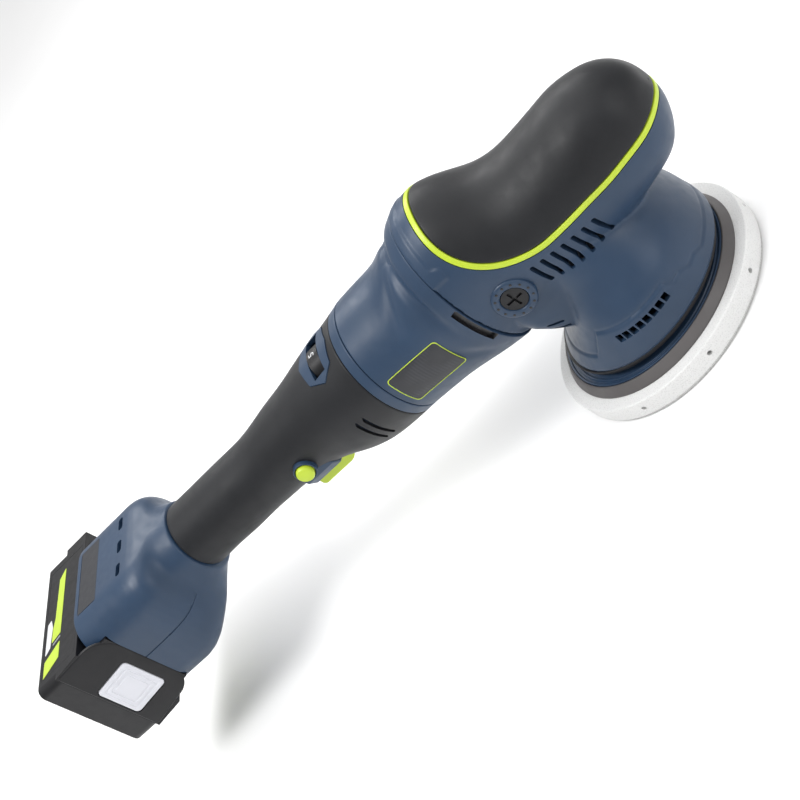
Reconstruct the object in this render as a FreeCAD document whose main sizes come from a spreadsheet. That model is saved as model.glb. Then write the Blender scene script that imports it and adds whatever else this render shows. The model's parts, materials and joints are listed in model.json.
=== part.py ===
"""Cordless dual action polisher, built as a parametric FreeCAD document (millimetres).

Frame: origin at the centre of the pad's working face. +X points from the battery to the nose,
+Y to the tool's left side and +Z up, away from the work. The handle and motor axis runs along X
at the height motor_height. The spindle axis runs along Z at x = -orbit, the pad's axis along Z at 0.
"""
import FreeCAD, Part
import math
import os
import Sketcher
from FreeCAD import Placement, Rotation, Vector

os.makedirs("parts", exist_ok=True)
doc = FreeCAD.newDocument("polisher")
sheet = doc.addObject("Spreadsheet::Sheet", "sizes")

# ---------------------------------------------------------------- driving dimensions
SIZES = {
    "motor_height": 109.0,      # handle and motor axis above the working face
    "orbit": 4.0,               # pad axis to spindle axis
    "pad_radius": 75.0,
    "foam_top": 14.4,
    "hook_thick": 1.6,
    "rim_radius": 67.0,
    "rim_top_radius": 63.5,
    "rim_top": 20.7,
    "hub_radius": 62.0,
    "skirt_low": 28.0,          # lower edge of the shroud
    "skirt_half_width": 60.5,
    "plastic_wall": 2.6,
    "soft_wall": 2.2,           # thickness of the soft overmoulding
    "grip_radius": 24.0,        # bare handle, overmoulding included
    "grip_rear": -316.0,
    "grip_front": -130.0,
    "seam_handle": -122.0,      # handle to motor housing
    "motor_radius": 41.5,
    "seam_head": -50.0,         # motor housing to head
    "head_half_width": 42.0,
    "nose_front": 104.6,
    "band_height": 109.0,       # level stretch of the coloured band round the top grip
    "band_width": 3.6,
    "foot_front": -316.0,
    "foot_half_width": 48.0,
    "foot_low": 58.0,
    "foot_high": 142.0,
    "foot_rear": -406.0,
    "foot_split": 97.0,         # height of the parting line of the battery foot
    "pack_split": -431.0,       # battery tray to its upper case
    "pack_step": -408.0,        # where the upper case becomes narrower
    "pack_rear": -452.0,
    "pack_half_length": 56.5,
    "pack_low": 56.0,
    "pack_high": 136.5,
    "pack_setback": 8.9,        # narrower part of the upper case, on each side
    "pack_front": -388.0,
    "pack_slant": 9.0,          # how far the button end leans in from tray to foot
    "release_half_length": 15.6,
    "release_shift": -3.5,      # button centre along the leaning end, from its middle
    "release_drop": 18.5,       # button centre below the handle axis
    "cell_radius": 9.0,
    "cell_length": 65.0,
    "shaft_radius": 4.0,
    "spindle_radius": 7.5,
    "can_radius": 31.0,
    "bevel_distance": 18.0,     # cone apex to the heel of the bevel teeth
    "bevel_toe": 12.0,          # cone apex to the toe of the bevel teeth
    "trigger_rear": -227.0,
    "trigger_front": -189.0,
    "wheel_x": -148.5,
    "wheel_height": 25.4,       # wheel centre above the handle axis
    "wheel_lean": 10.0,         # degrees that the wheel leans to the right side
    "wheel_radius": 13.0,
    "button_x": -209.0,
    "button_height": 105.0,
    "button_radius": 5.8,
    "screw_radius": 1.55,
    "running_gap": 0.05,        # radial clearance of a shaft in its bearing
    "free_gap": 0.4,            # clearance between pieces that move past each other
}
PINION_TEETH = 12
GEAR_TEETH = 24


class Dim:
    """A size that carries its value and the spreadsheet expression that gives it."""

    def __init__(self, value, text):
        self.value = value
        self.text = text

    def __add__(self, other):
        return Dim(self.value + number(other), "(%s + %s)" % (self.text, formula(other)))

    def __radd__(self, other):
        return self + other

    def __sub__(self, other):
        return Dim(self.value - number(other), "(%s - %s)" % (self.text, formula(other)))

    def __rsub__(self, other):
        return Dim(number(other) - self.value, "(%s - %s)" % (formula(other), self.text))

    def __mul__(self, other):
        return Dim(self.value * number(other), "(%s * %s)" % (self.text, formula(other)))

    def __rmul__(self, other):
        return self * other

    def __truediv__(self, other):
        return Dim(self.value / number(other), "(%s / %s)" % (self.text, formula(other)))

    def __neg__(self):
        return 0.0 - self


def number(size):
    return size.value if isinstance(size, Dim) else float(size)


def formula(size):
    return size.text if isinstance(size, Dim) else "(%r)" % float(size)


class Sheet:
    """The spreadsheet's cells, one attribute each."""


D = Sheet()
for row, (alias, value) in enumerate(SIZES.items(), start=1):
    sheet.set("A%d" % row, alias)
    sheet.set("B%d" % row, str(value))
    sheet.setAlias("B%d" % row, alias)
    setattr(D, alias, Dim(value, "sizes.%s" % alias))
doc.recompute()

NODES = []                      # the objects that are written to parts/
serial = [0]


def fresh(kind, label=None):
    """Add an object; without a label it is a helper with a running name."""
    serial[0] += 1
    obj = doc.addObject(kind, label or "helper%03d" % serial[0])
    obj.Label = label or obj.Name
    return obj


def bind(obj, **sizes):
    for name, size in sizes.items():
        setattr(obj, name, number(size))
        if isinstance(size, Dim):
            obj.setExpression(name, size.text)


def place(obj, x=0.0, y=0.0, z=0.0, rotation=None):
    obj.Placement = Placement(Vector(number(x), number(y), number(z)), rotation or Rotation())
    for axis, size in (("x", x), ("y", y), ("z", z)):
        if isinstance(size, Dim):
            obj.setExpression("Placement.Base.%s" % axis, size.text)
    return obj


def node(obj, label):
    """Name an object as a piece of the tool."""
    obj.Label = label
    NODES.append(obj)
    return obj


# ---------------------------------------------------------------- sketches and bodies
def origin_plane(body, role):
    return [feature for feature in body.Origin.OriginFeatures if feature.Role == role][0]


def polygon(body, role, points, offset=0.0):
    """Closed sketch through points, each corner held by its two coordinates."""
    sketch = body.newObject("Sketcher::SketchObject", "outline")
    sketch.AttachmentSupport = [(origin_plane(body, role), "")]
    sketch.MapMode = "FlatFace"
    sketch.AttachmentOffset = Placement(Vector(0, 0, number(offset)), Rotation())
    if isinstance(offset, Dim):
        sketch.setExpression("AttachmentOffset.Base.z", offset.text)
    count = len(points)
    for i in range(count):
        start = Vector(number(points[i][0]), number(points[i][1]), 0)
        stop = Vector(number(points[(i + 1) % count][0]), number(points[(i + 1) % count][1]), 0)
        sketch.addGeometry(Part.LineSegment(start, stop))
    for i in range(count):
        sketch.addConstraint(Sketcher.Constraint("Coincident", i, 2, (i + 1) % count, 1))
        for kind, axis, size in (("DistanceX", -2, points[i][0]), ("DistanceY", -1, points[i][1])):
            if not isinstance(size, Dim) and size == 0:
                sketch.addConstraint(Sketcher.Constraint("PointOnObject", i, 1, axis))
                continue
            index = sketch.addConstraint(Sketcher.Constraint(kind, -1, 1, i, 1, number(size)))
            if isinstance(size, Dim):
                sketch.setExpression("Constraints[%d]" % index, size.text)
    return sketch


def turned(points, axis="Z", x=0.0, y=0.0, z=0.0):
    """Body of revolution. Points are (radius, height) about Z or (along, radius) about X."""
    body = fresh("PartDesign::Body")
    sketch = polygon(body, "XZ_Plane", points)
    feature = body.newObject("PartDesign::Revolution", "turn")
    feature.Profile = sketch
    feature.ReferenceAxis = (sketch, ["V_Axis" if axis == "Z" else "H_Axis"])
    feature.Angle = 360.0
    return place(body, x, y, z)


def ring(axis, inner, outer, start, stop, x=0.0, y=0.0, z=0.0):
    """Plain ring or disc between two stations on its axis."""
    if axis == "Z":
        points = [(inner, start), (outer, start), (outer, stop), (inner, stop)]
    else:
        points = [(start, inner), (stop, inner), (stop, outer), (start, outer)]
    return turned(points, axis, x, y, z)


def prism(role, points, start, stop, x=0.0, y=0.0, z=0.0):
    """Polygon on an origin plane, padded from start to stop along that plane's axis."""
    body = fresh("PartDesign::Body")
    backwards = role == "XZ_Plane"          # its normal points along -Y
    sketch = polygon(body, role, points, -stop if backwards else start)
    feature = body.newObject("PartDesign::Pad", "pad")
    feature.Profile = sketch
    bind(feature, Length=stop - start)
    return place(body, x, y, z)


def rounded(body, radius, edges):
    """Round the given edges of a body's last feature."""
    base = body.Tip
    feature = body.newObject("PartDesign::Fillet", "rounding")
    feature.Base = (base, edges)
    bind(feature, Radius=radius)
    return body


def edges_along(shape, axis):
    """Names of the straight edges that run along an axis."""
    names = []
    for i, edge in enumerate(shape.Edges, start=1):
        direction = edge.Vertexes[-1].Point - edge.Vertexes[0].Point
        if edge.Curve.TypeId == "Part::GeomLine" and abs(direction.normalize().dot(axis)) > 0.999:
            names.append("Edge%d" % i)
    return names


def block(low, high, radius=None, axis=None):
    """Box between two corners, with the edges along one axis rounded on request."""
    points = [(low[0], low[1]), (high[0], low[1]), (high[0], high[1]), (low[0], high[1])]
    body = prism("XY_Plane", points, low[2], high[2])
    if radius is not None:
        doc.recompute()
        rounded(body, radius, edges_along(body.Tip.Shape, axis))
    return body


def cylinder(axis, radius, length, x, y, z):
    """Part cylinder whose base centre is at x, y, z and which runs along +axis."""
    obj = fresh("Part::Cylinder")
    bind(obj, Radius=radius, Height=length)
    return place(obj, x, y, z, Rotation(Vector(0, 0, 1), axis))


# ---------------------------------------------------------------- booleans
def join(pieces):
    if len(pieces) == 1:
        return pieces[0]
    obj = fresh("Part::MultiFuse")
    obj.Shapes = pieces
    obj.Refine = False
    return obj


def cut(base, *tools):
    """Take the tools away one after another."""
    for tool in tools:
        obj = fresh("Part::Cut")
        obj.Base = base
        obj.Tool = tool
        obj.Refine = False
        base = obj
    return base


def common(first, second):
    obj = fresh("Part::Common")
    obj.Base = first
    obj.Tool = second
    obj.Refine = False
    return obj


def group(pieces):
    """Several separate solids kept as one object."""
    obj = fresh("Part::Compound")
    obj.Links = pieces
    return obj


def oval_loft(stations, inset=0.0):
    """Smooth solid through ovals square to X, each (x, low, high, half width)."""
    sections = []
    for x, low, high, half in stations:
        oval = fresh("Part::Ellipse")
        bind(oval, MajorRadius=(high - low) / 2 - inset, MinorRadius=half - inset - ROUND_OFF)
        place(oval, x, 0.0, (high + low) / 2, Rotation(Vector(0, 0, 1), Vector(0, 1, 0), Vector(), "XZY"))
        sections.append(oval)
    loft = fresh("Part::Loft")
    loft.Sections = sections
    loft.Solid = True
    loft.Ruled = False
    return loft


X_AXIS = Vector(1, 0, 0)
Y_AXIS = Vector(0, 1, 0)
Z_AXIS = Vector(0, 0, 1)
ROUND_OFF = 0.005               # keeps an oval's minor radius below its major one
HUGE = 400.0                    # larger than any cross-section that a cutter must cover
PLUG_X, PLUG_Z = -26.0, 102.0   # axis of the plugs in the auxiliary handle's sockets
PLUG_RADIUS = 7.8
BOSS_REACH = 36.0               # how far the socket bosses reach to each side
FLANGE_SCREW_RADIUS = 33.8      # pitch radius of the screws between gear case and housing
AXIS = D.motor_height
SPINDLE = -D.orbit


# ---------------------------------------------------------------- working end
def working_end():
    """Pad disc, hook sheet, backing plate and the arbor that carries them."""
    hook = ring("Z", 7.0, D.pad_radius - 1.0, 0.0, D.hook_thick)
    node(hook, "hook_sheet")

    foam = ring("Z", 14.0, D.pad_radius, D.hook_thick, D.foam_top)
    middle = (D.foam_top + D.hook_thick) / 2
    holes = []
    for i in range(9):
        spin = Rotation(Z_AXIS, 10.0 + 40.0 * i)
        hole = fresh("Part::Cylinder")
        bind(hole, Radius=1.6, Height=12.0)
        start = spin.multVec(Vector(SIZES["pad_radius"] - 10.0, 0, 0))
        place(hole, start.x, start.y, middle, spin.multiply(Rotation(Z_AXIS, X_AXIS)))
        holes.append(hole)
    node(cut(foam, join(holes)), "pad_foam")

    lip = D.foam_top + 3.0          # the hub's flange lies on the rim's inner step
    rim = turned([(40.0, D.foam_top), (D.rim_radius, D.foam_top), (D.rim_radius, D.foam_top + 1.2),
                  (D.rim_top_radius, D.rim_top), (D.hub_radius + 0.4, D.rim_top),
                  (D.hub_radius + 0.4, lip), (40.0, lip)])
    node(rim, "plate_rim")

    ridge_top = D.rim_top + 0.5
    hub = turned([(9.0, D.hook_thick), (13.6, D.hook_thick), (13.6, D.foam_top), (39.6, D.foam_top),
                  (39.6, lip), (D.hub_radius, lip), (D.hub_radius, ridge_top),
                  (D.hub_radius - 1.2, ridge_top), (D.hub_radius - 1.6, ridge_top - 0.9),
                  (D.hub_radius - 2.8, ridge_top - 0.9), (D.hub_radius - 3.2, ridge_top),
                  (D.hub_radius - 4.4, ridge_top), (D.hub_radius - 4.8, ridge_top - 0.9),
                  (46.0, D.rim_top + 3.5), (17.0, D.rim_top + 3.5), (15.0, 33.0), (9.0, 33.0)])
    node(hub, "plate_hub")

    arbor = turned([(0.0, 4.0), (6.0, 4.0), (6.0, 8.0), (8.9, 8.0), (8.9, 33.0), (11.0, 33.0),
                    (11.0, 36.0), (6.0, 36.0), (6.0, 52.5), (0.0, 52.5)])
    node(arbor, "pad_arbor")


# ---------------------------------------------------------------- bevel gears and spindle
def bevel_tooth(distance, tip_below_pitch, root_below_pitch, half_tip, half_root):
    """Corners (y, depth below the apex) of one tooth at a distance from the cone apex."""
    scale = distance / D.bevel_distance
    return [(-half_root * scale, -root_below_pitch * scale), (-half_tip * scale, -tip_below_pitch * scale),
            (half_tip * scale, -tip_below_pitch * scale), (half_root * scale, -root_below_pitch * scale)]


def toothed(blank_points, blank_axis, tip, root, half_tip, half_root, teeth, spin_role):
    """Bevel gear: a turned blank, one tooth lofted towards the apex, and its polar pattern."""
    body = fresh("PartDesign::Body")
    sketch = polygon(body, "XZ_Plane", blank_points)
    blank = body.newObject("PartDesign::Revolution", "blank")
    blank.Profile = sketch
    blank.ReferenceAxis = (sketch, ["V_Axis" if blank_axis == "Z" else "H_Axis"])
    blank.Angle = 360.0
    doc.recompute()
    heel = polygon(body, "YZ_Plane", bevel_tooth(D.bevel_distance, tip, root, half_tip, half_root),
                   -D.bevel_distance)
    toe = polygon(body, "YZ_Plane", bevel_tooth(D.bevel_toe, tip, root, half_tip, half_root),
                  -D.bevel_toe)
    tooth = body.newObject("PartDesign::AdditiveLoft", "tooth")
    tooth.Profile = heel
    tooth.Sections = [toe]
    tooth.Ruled = True
    doc.recompute()
    pattern = body.newObject("PartDesign::PolarPattern", "teeth")
    pattern.Originals = [tooth]
    pattern.Axis = (origin_plane(body, spin_role), [""])
    pattern.Angle = 360.0
    pattern.Occurrences = teeth
    body.Tip = pattern
    return body


def drive():
    """Spindle group: bevel gear, spindle, counterweight and the offset bearing."""
    toe_scale = D.bevel_toe / D.bevel_distance
    gear = toothed([(5.05, -16.0), (19.0, -16.0), (D.bevel_distance, -10.4),
                    (D.bevel_toe, -10.4 * toe_scale), (5.05, -10.4 * toe_scale)],
                   "Z", 7.9, 10.8, 0.45, 1.35, GEAR_TEETH, "Z_Axis")
    half_tooth = Rotation(Z_AXIS, 180.0 / GEAR_TEETH)
    node(place(gear, SPINDLE, 0.0, AXIS, half_tooth), "bevel_gear")

    pinion = toothed([(-D.bevel_distance - 1.0, 3.5), (-D.bevel_toe, 3.5), (-D.bevel_toe, 7.6 * toe_scale),
                      (-D.bevel_distance, 7.6), (-D.bevel_distance - 1.0, 7.6)],
                     "X", 10.1, 7.2, 0.45, 1.35, PINION_TEETH, "X_Axis")
    node(place(pinion, SPINDLE, 0.0, AXIS), "bevel_pinion")

    spindle = turned([(0.0, 54.0), (D.spindle_radius, 54.0), (D.spindle_radius, 90.0),
                      (5.0, 90.0), (5.0, 124.0), (0.0, 124.0)], x=SPINDLE)
    node(spindle, "spindle_shaft")

    disc = ring("Z", 0.0, 21.0, 38.0, 57.0, x=SPINDLE)
    lobe = ring("Z", 0.0, 27.0, 38.0, 45.0, x=SPINDLE)
    half_space = block((-HUGE, -HUGE, 0.0), (SPINDLE - 6.0, HUGE, HUGE))
    weight = cut(join([disc, common(lobe, half_space)]),
                 ring("Z", 0.0, D.spindle_radius, 54.0, 60.0, x=SPINDLE),
                 ring("Z", 0.0, 14.0, 30.0, 53.6))
    node(weight, "counterweight")

    bearing = turned([(6.0 + D.running_gap, 38.5), (13.9, 38.5), (13.9, 52.8), (6.0 + D.running_gap, 52.8)])
    node(bearing, "orbit_bearing")


def flange_screw_places():
    """(y, z) of the four screws that hold the gear case to the motor housing."""
    reach = FLANGE_SCREW_RADIUS * math.sqrt(0.5)
    return [(side * reach, AXIS + up * reach) for side in (-1, 1) for up in (-1, 1)]


def gearbox():
    """Cast gear case, its bearings, retainer, seal and screws."""
    outer = turned([(0.0, 61.0), (20.2, 61.0), (20.2, 76.0), (26.0, 82.0), (26.0, 98.0), (23.0, 110.0),
                    (16.0, 126.0), (14.0, 128.0), (0.0, 128.0)], x=SPINDLE)
    flange = common(ring("X", 0.0, 37.2, -52.0, -46.0, z=AXIS),
                    block((-60.0, -28.0, 0.0), (-40.0, 28.0, HUGE)))
    tunnel = ring("X", 0.0, 19.0, -50.0, -10.0, z=AXIS)
    bosses = cylinder(Y_AXIS, PLUG_RADIUS + 0.1, 2.0 * BOSS_REACH, PLUG_X, -BOSS_REACH, PLUG_Z)
    inside = turned([(0.0, 78.5), (20.5, 78.5), (20.5, 102.5), (13.5, 109.0), (13.5, 115.5),
                     (0.0, 115.5)], x=SPINDLE)
    lower_seat = ring("Z", 0.0, 17.5, 60.0, 79.0, x=SPINDLE)
    upper_seat = ring("Z", 0.0, 10.0, 115.0, 125.5, x=SPINDLE)
    shaft_room = ring("X", 0.0, 11.4, -38.0, -12.0, z=AXIS)
    motor_seat = ring("X", 0.0, 13.0, -54.0, -38.0, z=AXIS)
    sockets = [cylinder(Y_AXIS, 5.0, 10.5, PLUG_X, y, PLUG_Z) for y in (-38.5, 28.0)]
    screw_holes = [cylinder(X_AXIS, 2.1, 10.0, -54.0, y, z) for y, z in flange_screw_places()]
    casting = cut(join([outer, flange, tunnel, bosses]), inside, lower_seat, upper_seat,
                  shaft_room, motor_seat, *(sockets + screw_holes))
    node(casting, "gearbox_casting")
    screws = []
    for y, z in flange_screw_places():
        screws.append(join([cylinder(X_AXIS, 2.0, 22.0, -66.0, y, z),
                            cylinder(X_AXIS, 3.1, 3.0, -46.0, y, z)]))
    node(group(screws), "flange_screws")

    node(ring("Z", D.spindle_radius + D.running_gap, 17.5, 65.0, 78.0, x=SPINDLE), "spindle_bearing_lower")
    node(ring("Z", 5.0 + D.running_gap, 10.0, 116.0, 125.0, x=SPINDLE), "spindle_bearing_upper")
    bearings = [ring("X", D.shaft_radius + D.running_gap, 13.0, start, start + 8.0, z=AXIS)
                for start in (-46.0, -131.0)]
    node(group(bearings), "motor_bearings")
    node(ring("Z", 9.5, 17.4, 61.0, 65.0, x=SPINDLE), "bearing_circlip")
    node(ring("Z", D.spindle_radius + 0.3, 20.8, 59.0, 61.0, x=SPINDLE), "dust_seal")

    plugs = []
    for side in (-1, 1):
        cap = cylinder(Y_AXIS, PLUG_RADIUS, 4.0, PLUG_X, -42.2 if side < 0 else 38.2, PLUG_Z)
        stem = cylinder(Y_AXIS, 4.9, 9.0, PLUG_X, -38.3 if side < 0 else 29.3, PLUG_Z)
        low, high = (-43.0, -40.9) if side < 0 else (40.9, 43.0)
        cross = [block((PLUG_X - 5.5, low, PLUG_Z - 0.8), (PLUG_X + 5.5, high, PLUG_Z + 0.8)),
                 block((PLUG_X - 0.8, low, PLUG_Z - 5.5), (PLUG_X + 0.8, high, PLUG_Z + 5.5))]
        plugs.append(cut(join([cap, stem]), *cross))
    node(group(plugs), "socket_plugs")


# ---------------------------------------------------------------- motor
def motor():
    """Permanent-magnet motor: can, magnets and brush gear on the housing, rotor on its shaft."""
    can = turned([(-112.0, D.can_radius - 2.0), (-68.0, D.can_radius - 2.0), (-68.0, 14.0), (-66.0, 14.0),
                  (-66.0, D.can_radius), (-112.0, D.can_radius)], "X", z=AXIS)
    node(can, "motor_can")

    tube = ring("X", 23.6, D.can_radius - 2.0, -106.0, -72.0, z=AXIS)
    gaps = block((-120.0, -8.0, 0.0), (-60.0, 8.0, HUGE))
    node(cut(tube, gaps), "field_magnets")

    plate = turned([(-121.0, 9.0), (-112.0, 9.0), (-112.0, 11.5), (-115.0, 11.5), (-115.0, D.can_radius),
                    (-121.0, D.can_radius)], "X", z=AXIS)
    pockets = [cylinder(Z_AXIS, 3.1, 30.0, -117.5, 0.0, AXIS + start) for start in (6.0, -36.0)]
    node(cut(plate, *pockets), "brush_plate")

    brushes = []
    springs = []
    for side in (-1, 1):
        start = 8.8 if side > 0 else -17.8
        brushes.append(cylinder(Z_AXIS, 3.0, 9.0, -117.5, 0.0, AXIS + start))
        coil = 18.0 if side > 0 else -28.0
        springs.append(cut(cylinder(Z_AXIS, 2.8, 10.0, -117.5, 0.0, AXIS + coil),
                           cylinder(Z_AXIS, 1.8, 12.0, -117.5, 0.0, AXIS + coil - 1.0)))
    node(group(brushes), "carbon_brushes")
    node(group(springs), "brush_springs")

    shaft = turned([(-132.0, 0.0), (SPINDLE - D.bevel_toe, 0.0), (SPINDLE - D.bevel_toe, 3.5),
                    (SPINDLE - D.bevel_distance - 1.0, 3.5),
                    (SPINDLE - D.bevel_distance - 1.0, D.shaft_radius), (-132.0, D.shaft_radius)],
                   "X", z=AXIS)
    node(shaft, "motor_shaft")

    core = ring("X", D.shaft_radius, 22.8, -100.0, -76.0, z=AXIS)
    slots = []
    for i in range(10):
        slot = block((-101.0, -1.3, 12.0), (-75.0, 1.3, 24.0))
        slots.append(place(slot, 0.0, 0.0, AXIS, Rotation(X_AXIS, 36.0 * i)))
    node(cut(core, join(slots)), "armature_core")

    rear_turns = turned([(-108.0, 11.0), (-104.0, 20.0), (-100.0, 20.0), (-100.0, D.shaft_radius),
                         (-108.0, D.shaft_radius)], "X", z=AXIS)
    front_turns = turned([(-76.0, D.shaft_radius), (-76.0, 20.0), (-72.0, 17.0), (-70.0, 12.0),
                          (-70.0, D.shaft_radius)], "X", z=AXIS)
    node(group([rear_turns, front_turns]), "armature_windings")

    bars = ring("X", D.shaft_radius, 8.6, -121.5, -110.0, z=AXIS)
    node(bars, "commutator")

    hub = ring("X", D.shaft_radius, 9.0, -64.0, -55.0, z=AXIS)
    back = ring("X", D.shaft_radius, 29.5, -64.0, -62.5, z=AXIS)
    blades = []
    for i in range(12):
        blade = block((-63.0, -0.7, 8.0), (-56.0, 0.7, 29.4))
        blades.append(place(blade, 0.0, 0.0, AXIS, Rotation(X_AXIS, 30.0 * i)))
    node(join([hub, back] + blades), "cooling_fan")


# ---------------------------------------------------------------- handle
def leaning(obj):
    """Place a piece, built about a level axis, on the handle axis and lean it like the speed wheel."""
    return place(obj, 0.0, 0.0, AXIS, Rotation(X_AXIS, SIZES["wheel_lean"]))


def handle_stations():
    """(x, low, high, half width) of the overmoulded handle, bulging below in front of the trigger."""
    grip = D.grip_radius
    nose = D.motor_radius
    rows = [(D.grip_rear - 4.0 + 19.0 * i, grip, grip, grip) for i in range(5)]
    rows += [(-228.0, grip + 0.4, grip + 1.6, grip + 0.8), (-212.0, grip + 1.5, grip + 4.2, grip + 2.6),
             (-192.0, grip + 5.0, grip + 6.8, grip + 5.0),
            (-176.0, nose - 4.5, grip + 9.6, grip + 8.6), (-160.0, nose, grip + 12.2, grip + 12.0),
            (-142.0, nose + 0.6, grip + 14.2, nose - 2.5), (D.seam_handle, nose, nose, nose)]
    return [(x, AXIS - low, AXIS + high, half) for x, low, high, half in rows]


def handle():
    """Blue clamshell halves with the battery foot, black overmoulding and the controls' frames."""
    stations = handle_stations()
    skin = oval_loft(stations)
    shell_skin = oval_loft(stations, D.soft_wall)
    inner_skin = oval_loft(stations, D.soft_wall + D.plastic_wall)
    split_x = D.grip_rear - 6.0
    upper_space = join([block((split_x, -HUGE, AXIS), (0.0, HUGE, HUGE)),
                        block((-HUGE * 2, -HUGE, D.foot_split), (split_x, HUGE, HUGE))])
    lower_space = join([block((split_x, -HUGE, -HUGE), (0.0, HUGE, AXIS)),
                        block((-HUGE * 2, -HUGE, -HUGE), (split_x, HUGE, D.foot_split))])
    grip_slab = block((D.grip_rear, -HUGE, -HUGE), (D.grip_front, HUGE, HUGE))
    ring_slab = block((D.grip_front, -HUGE, -HUGE), (0.0, HUGE, HUGE))

    hexagon = [(-163.0, 0.0), (-159.5, -14.0), (-148.5, -19.5), (-137.5, -14.0), (-134.5, 0.0),
               (-137.5, 14.0), (-148.5, 19.5), (-159.5, 14.0)]
    bezel_column = leaning(prism("XY_Plane", hexagon, 20.0, 60.0))
    wheel_slot = leaning(block((D.wheel_x - 5.4, -14.6, 8.0), (D.wheel_x + 5.4, 14.6, 60.0)))
    button_hole = cylinder(Y_AXIS, 7.6, 30.0, D.button_x, -40.0, D.button_height)
    frame_slot = block((D.trigger_rear - 4.4, -11.4, AXIS - 60.0),
                       (D.trigger_front + 7.4, 11.4, AXIS - 15.0))
    side_vents = [block((x, -60.0, AXIS - 26.0), (x + 2.6, -20.0, AXIS + 3.0)) for x in (-157.0, -150.5)]

    openings = [button_hole, join(side_vents)]
    soft = cut(common(skin, grip_slab), shell_skin)
    node(cut(common(soft, upper_space), bezel_column, *openings), "overmould_upper")
    node(cut(common(soft, lower_space), frame_slot, *openings), "overmould_lower")

    bosses = []
    holes = []
    screws = []
    for x, y, reach, middle in screw_places():
        bosses.append(cylinder(Z_AXIS, 4.2, 2.0 * reach, x, y, middle - reach))
        holes.append(cylinder(Z_AXIS, D.screw_radius + 0.05, 40.0, x, y, middle - 28.0))
        holes.append(cylinder(Z_AXIS, 3.6, 60.0, x, y, middle - 74.0))
        screws.append(join([cylinder(Z_AXIS, D.screw_radius, 24.0, x, y, middle - 14.0),
                            cylinder(Z_AXIS, 3.4, 2.4, x, y, middle - 16.4)]))
    node(group(screws), "handle_screws")
    hollow = cut(join([shell_skin, common(skin, ring_slab), foot_solid()]), inner_skin, *foot_cavity())
    solid = cut(join([hollow] + bosses), *holes)
    foot_vents = [block((-357.5, y - 5.0, D.foot_high - 8.0), (-353.0, y + 5.0, D.foot_high + 1.0))
                  for y in (-20.0, 0.0, 20.0)]
    plate_recess = block((-401.0, -27.0, D.foot_high - 0.8), (-380.5, 27.0, D.foot_high + 1.0))
    node(cut(common(solid, upper_space), wheel_slot, plate_recess, join(foot_vents), *openings),
         "handle_shell_upper")
    node(cut(common(solid, lower_space), frame_slot, *openings), "handle_shell_lower")

    bezel = cut(common(bezel_column, oval_loft(stations, -0.6)), shell_skin, wheel_slot)
    node(bezel, "speed_bezel")
    plate = block((-400.7, -26.7, D.foot_high - 0.8), (-380.8, 26.7, D.foot_high - 0.1))
    return plate


def screw_places():
    """(x, y, half length of the boss, height of the parting line) of the screws of the handle halves."""
    reach = D.grip_radius - D.soft_wall - 1.0
    tall = (D.foot_high - D.foot_low) / 2 - 1.0
    middle = (D.foot_high + D.foot_low) / 2
    return [(-296.0, 0.0, reach, AXIS), (-254.0, 0.0, reach, AXIS), (-360.0, -32.0, tall, middle),
            (-360.0, 32.0, tall, middle)]


def foot_solid(inset=0.0):
    """Rounded block that flares out of the handle and stands over the battery."""
    body = fresh("PartDesign::Body")
    half = D.foot_half_width
    front = D.foot_front - inset
    rear = D.foot_rear if inset == 0.0 else D.pack_front + 3.0
    rows = [(front, 27.0, AXIS - 28.0, AXIS + 25.0, 24.0, 24.0),
            (front - 12.0, 35.0, AXIS - 35.0, AXIS + 28.0, 23.0, 22.0),
            (front - 25.0, half - 5.0, AXIS - 40.5, AXIS + 31.0, 20.0, 24.0),
            (front - 37.0, half - 1.5, D.foot_low + 6.0, D.foot_high, 18.0, 24.0),
            (front - 53.0, half, D.foot_low, D.foot_high, 16.0, 24.0),
            (rear, half, D.foot_low, D.foot_high, 16.0, 24.0)]
    sections = []
    for x, wide, low, high, low_radius, high_radius in rows:
        sections.append(rounded_section(body, x, wide - inset, low + inset, high - inset,
                                        low_radius - inset, high_radius - inset))
    loft = body.newObject("PartDesign::AdditiveLoft", "flare")
    loft.Profile = sections[0]
    loft.Sections = sections[1:]
    loft.Ruled = True
    return body


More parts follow.
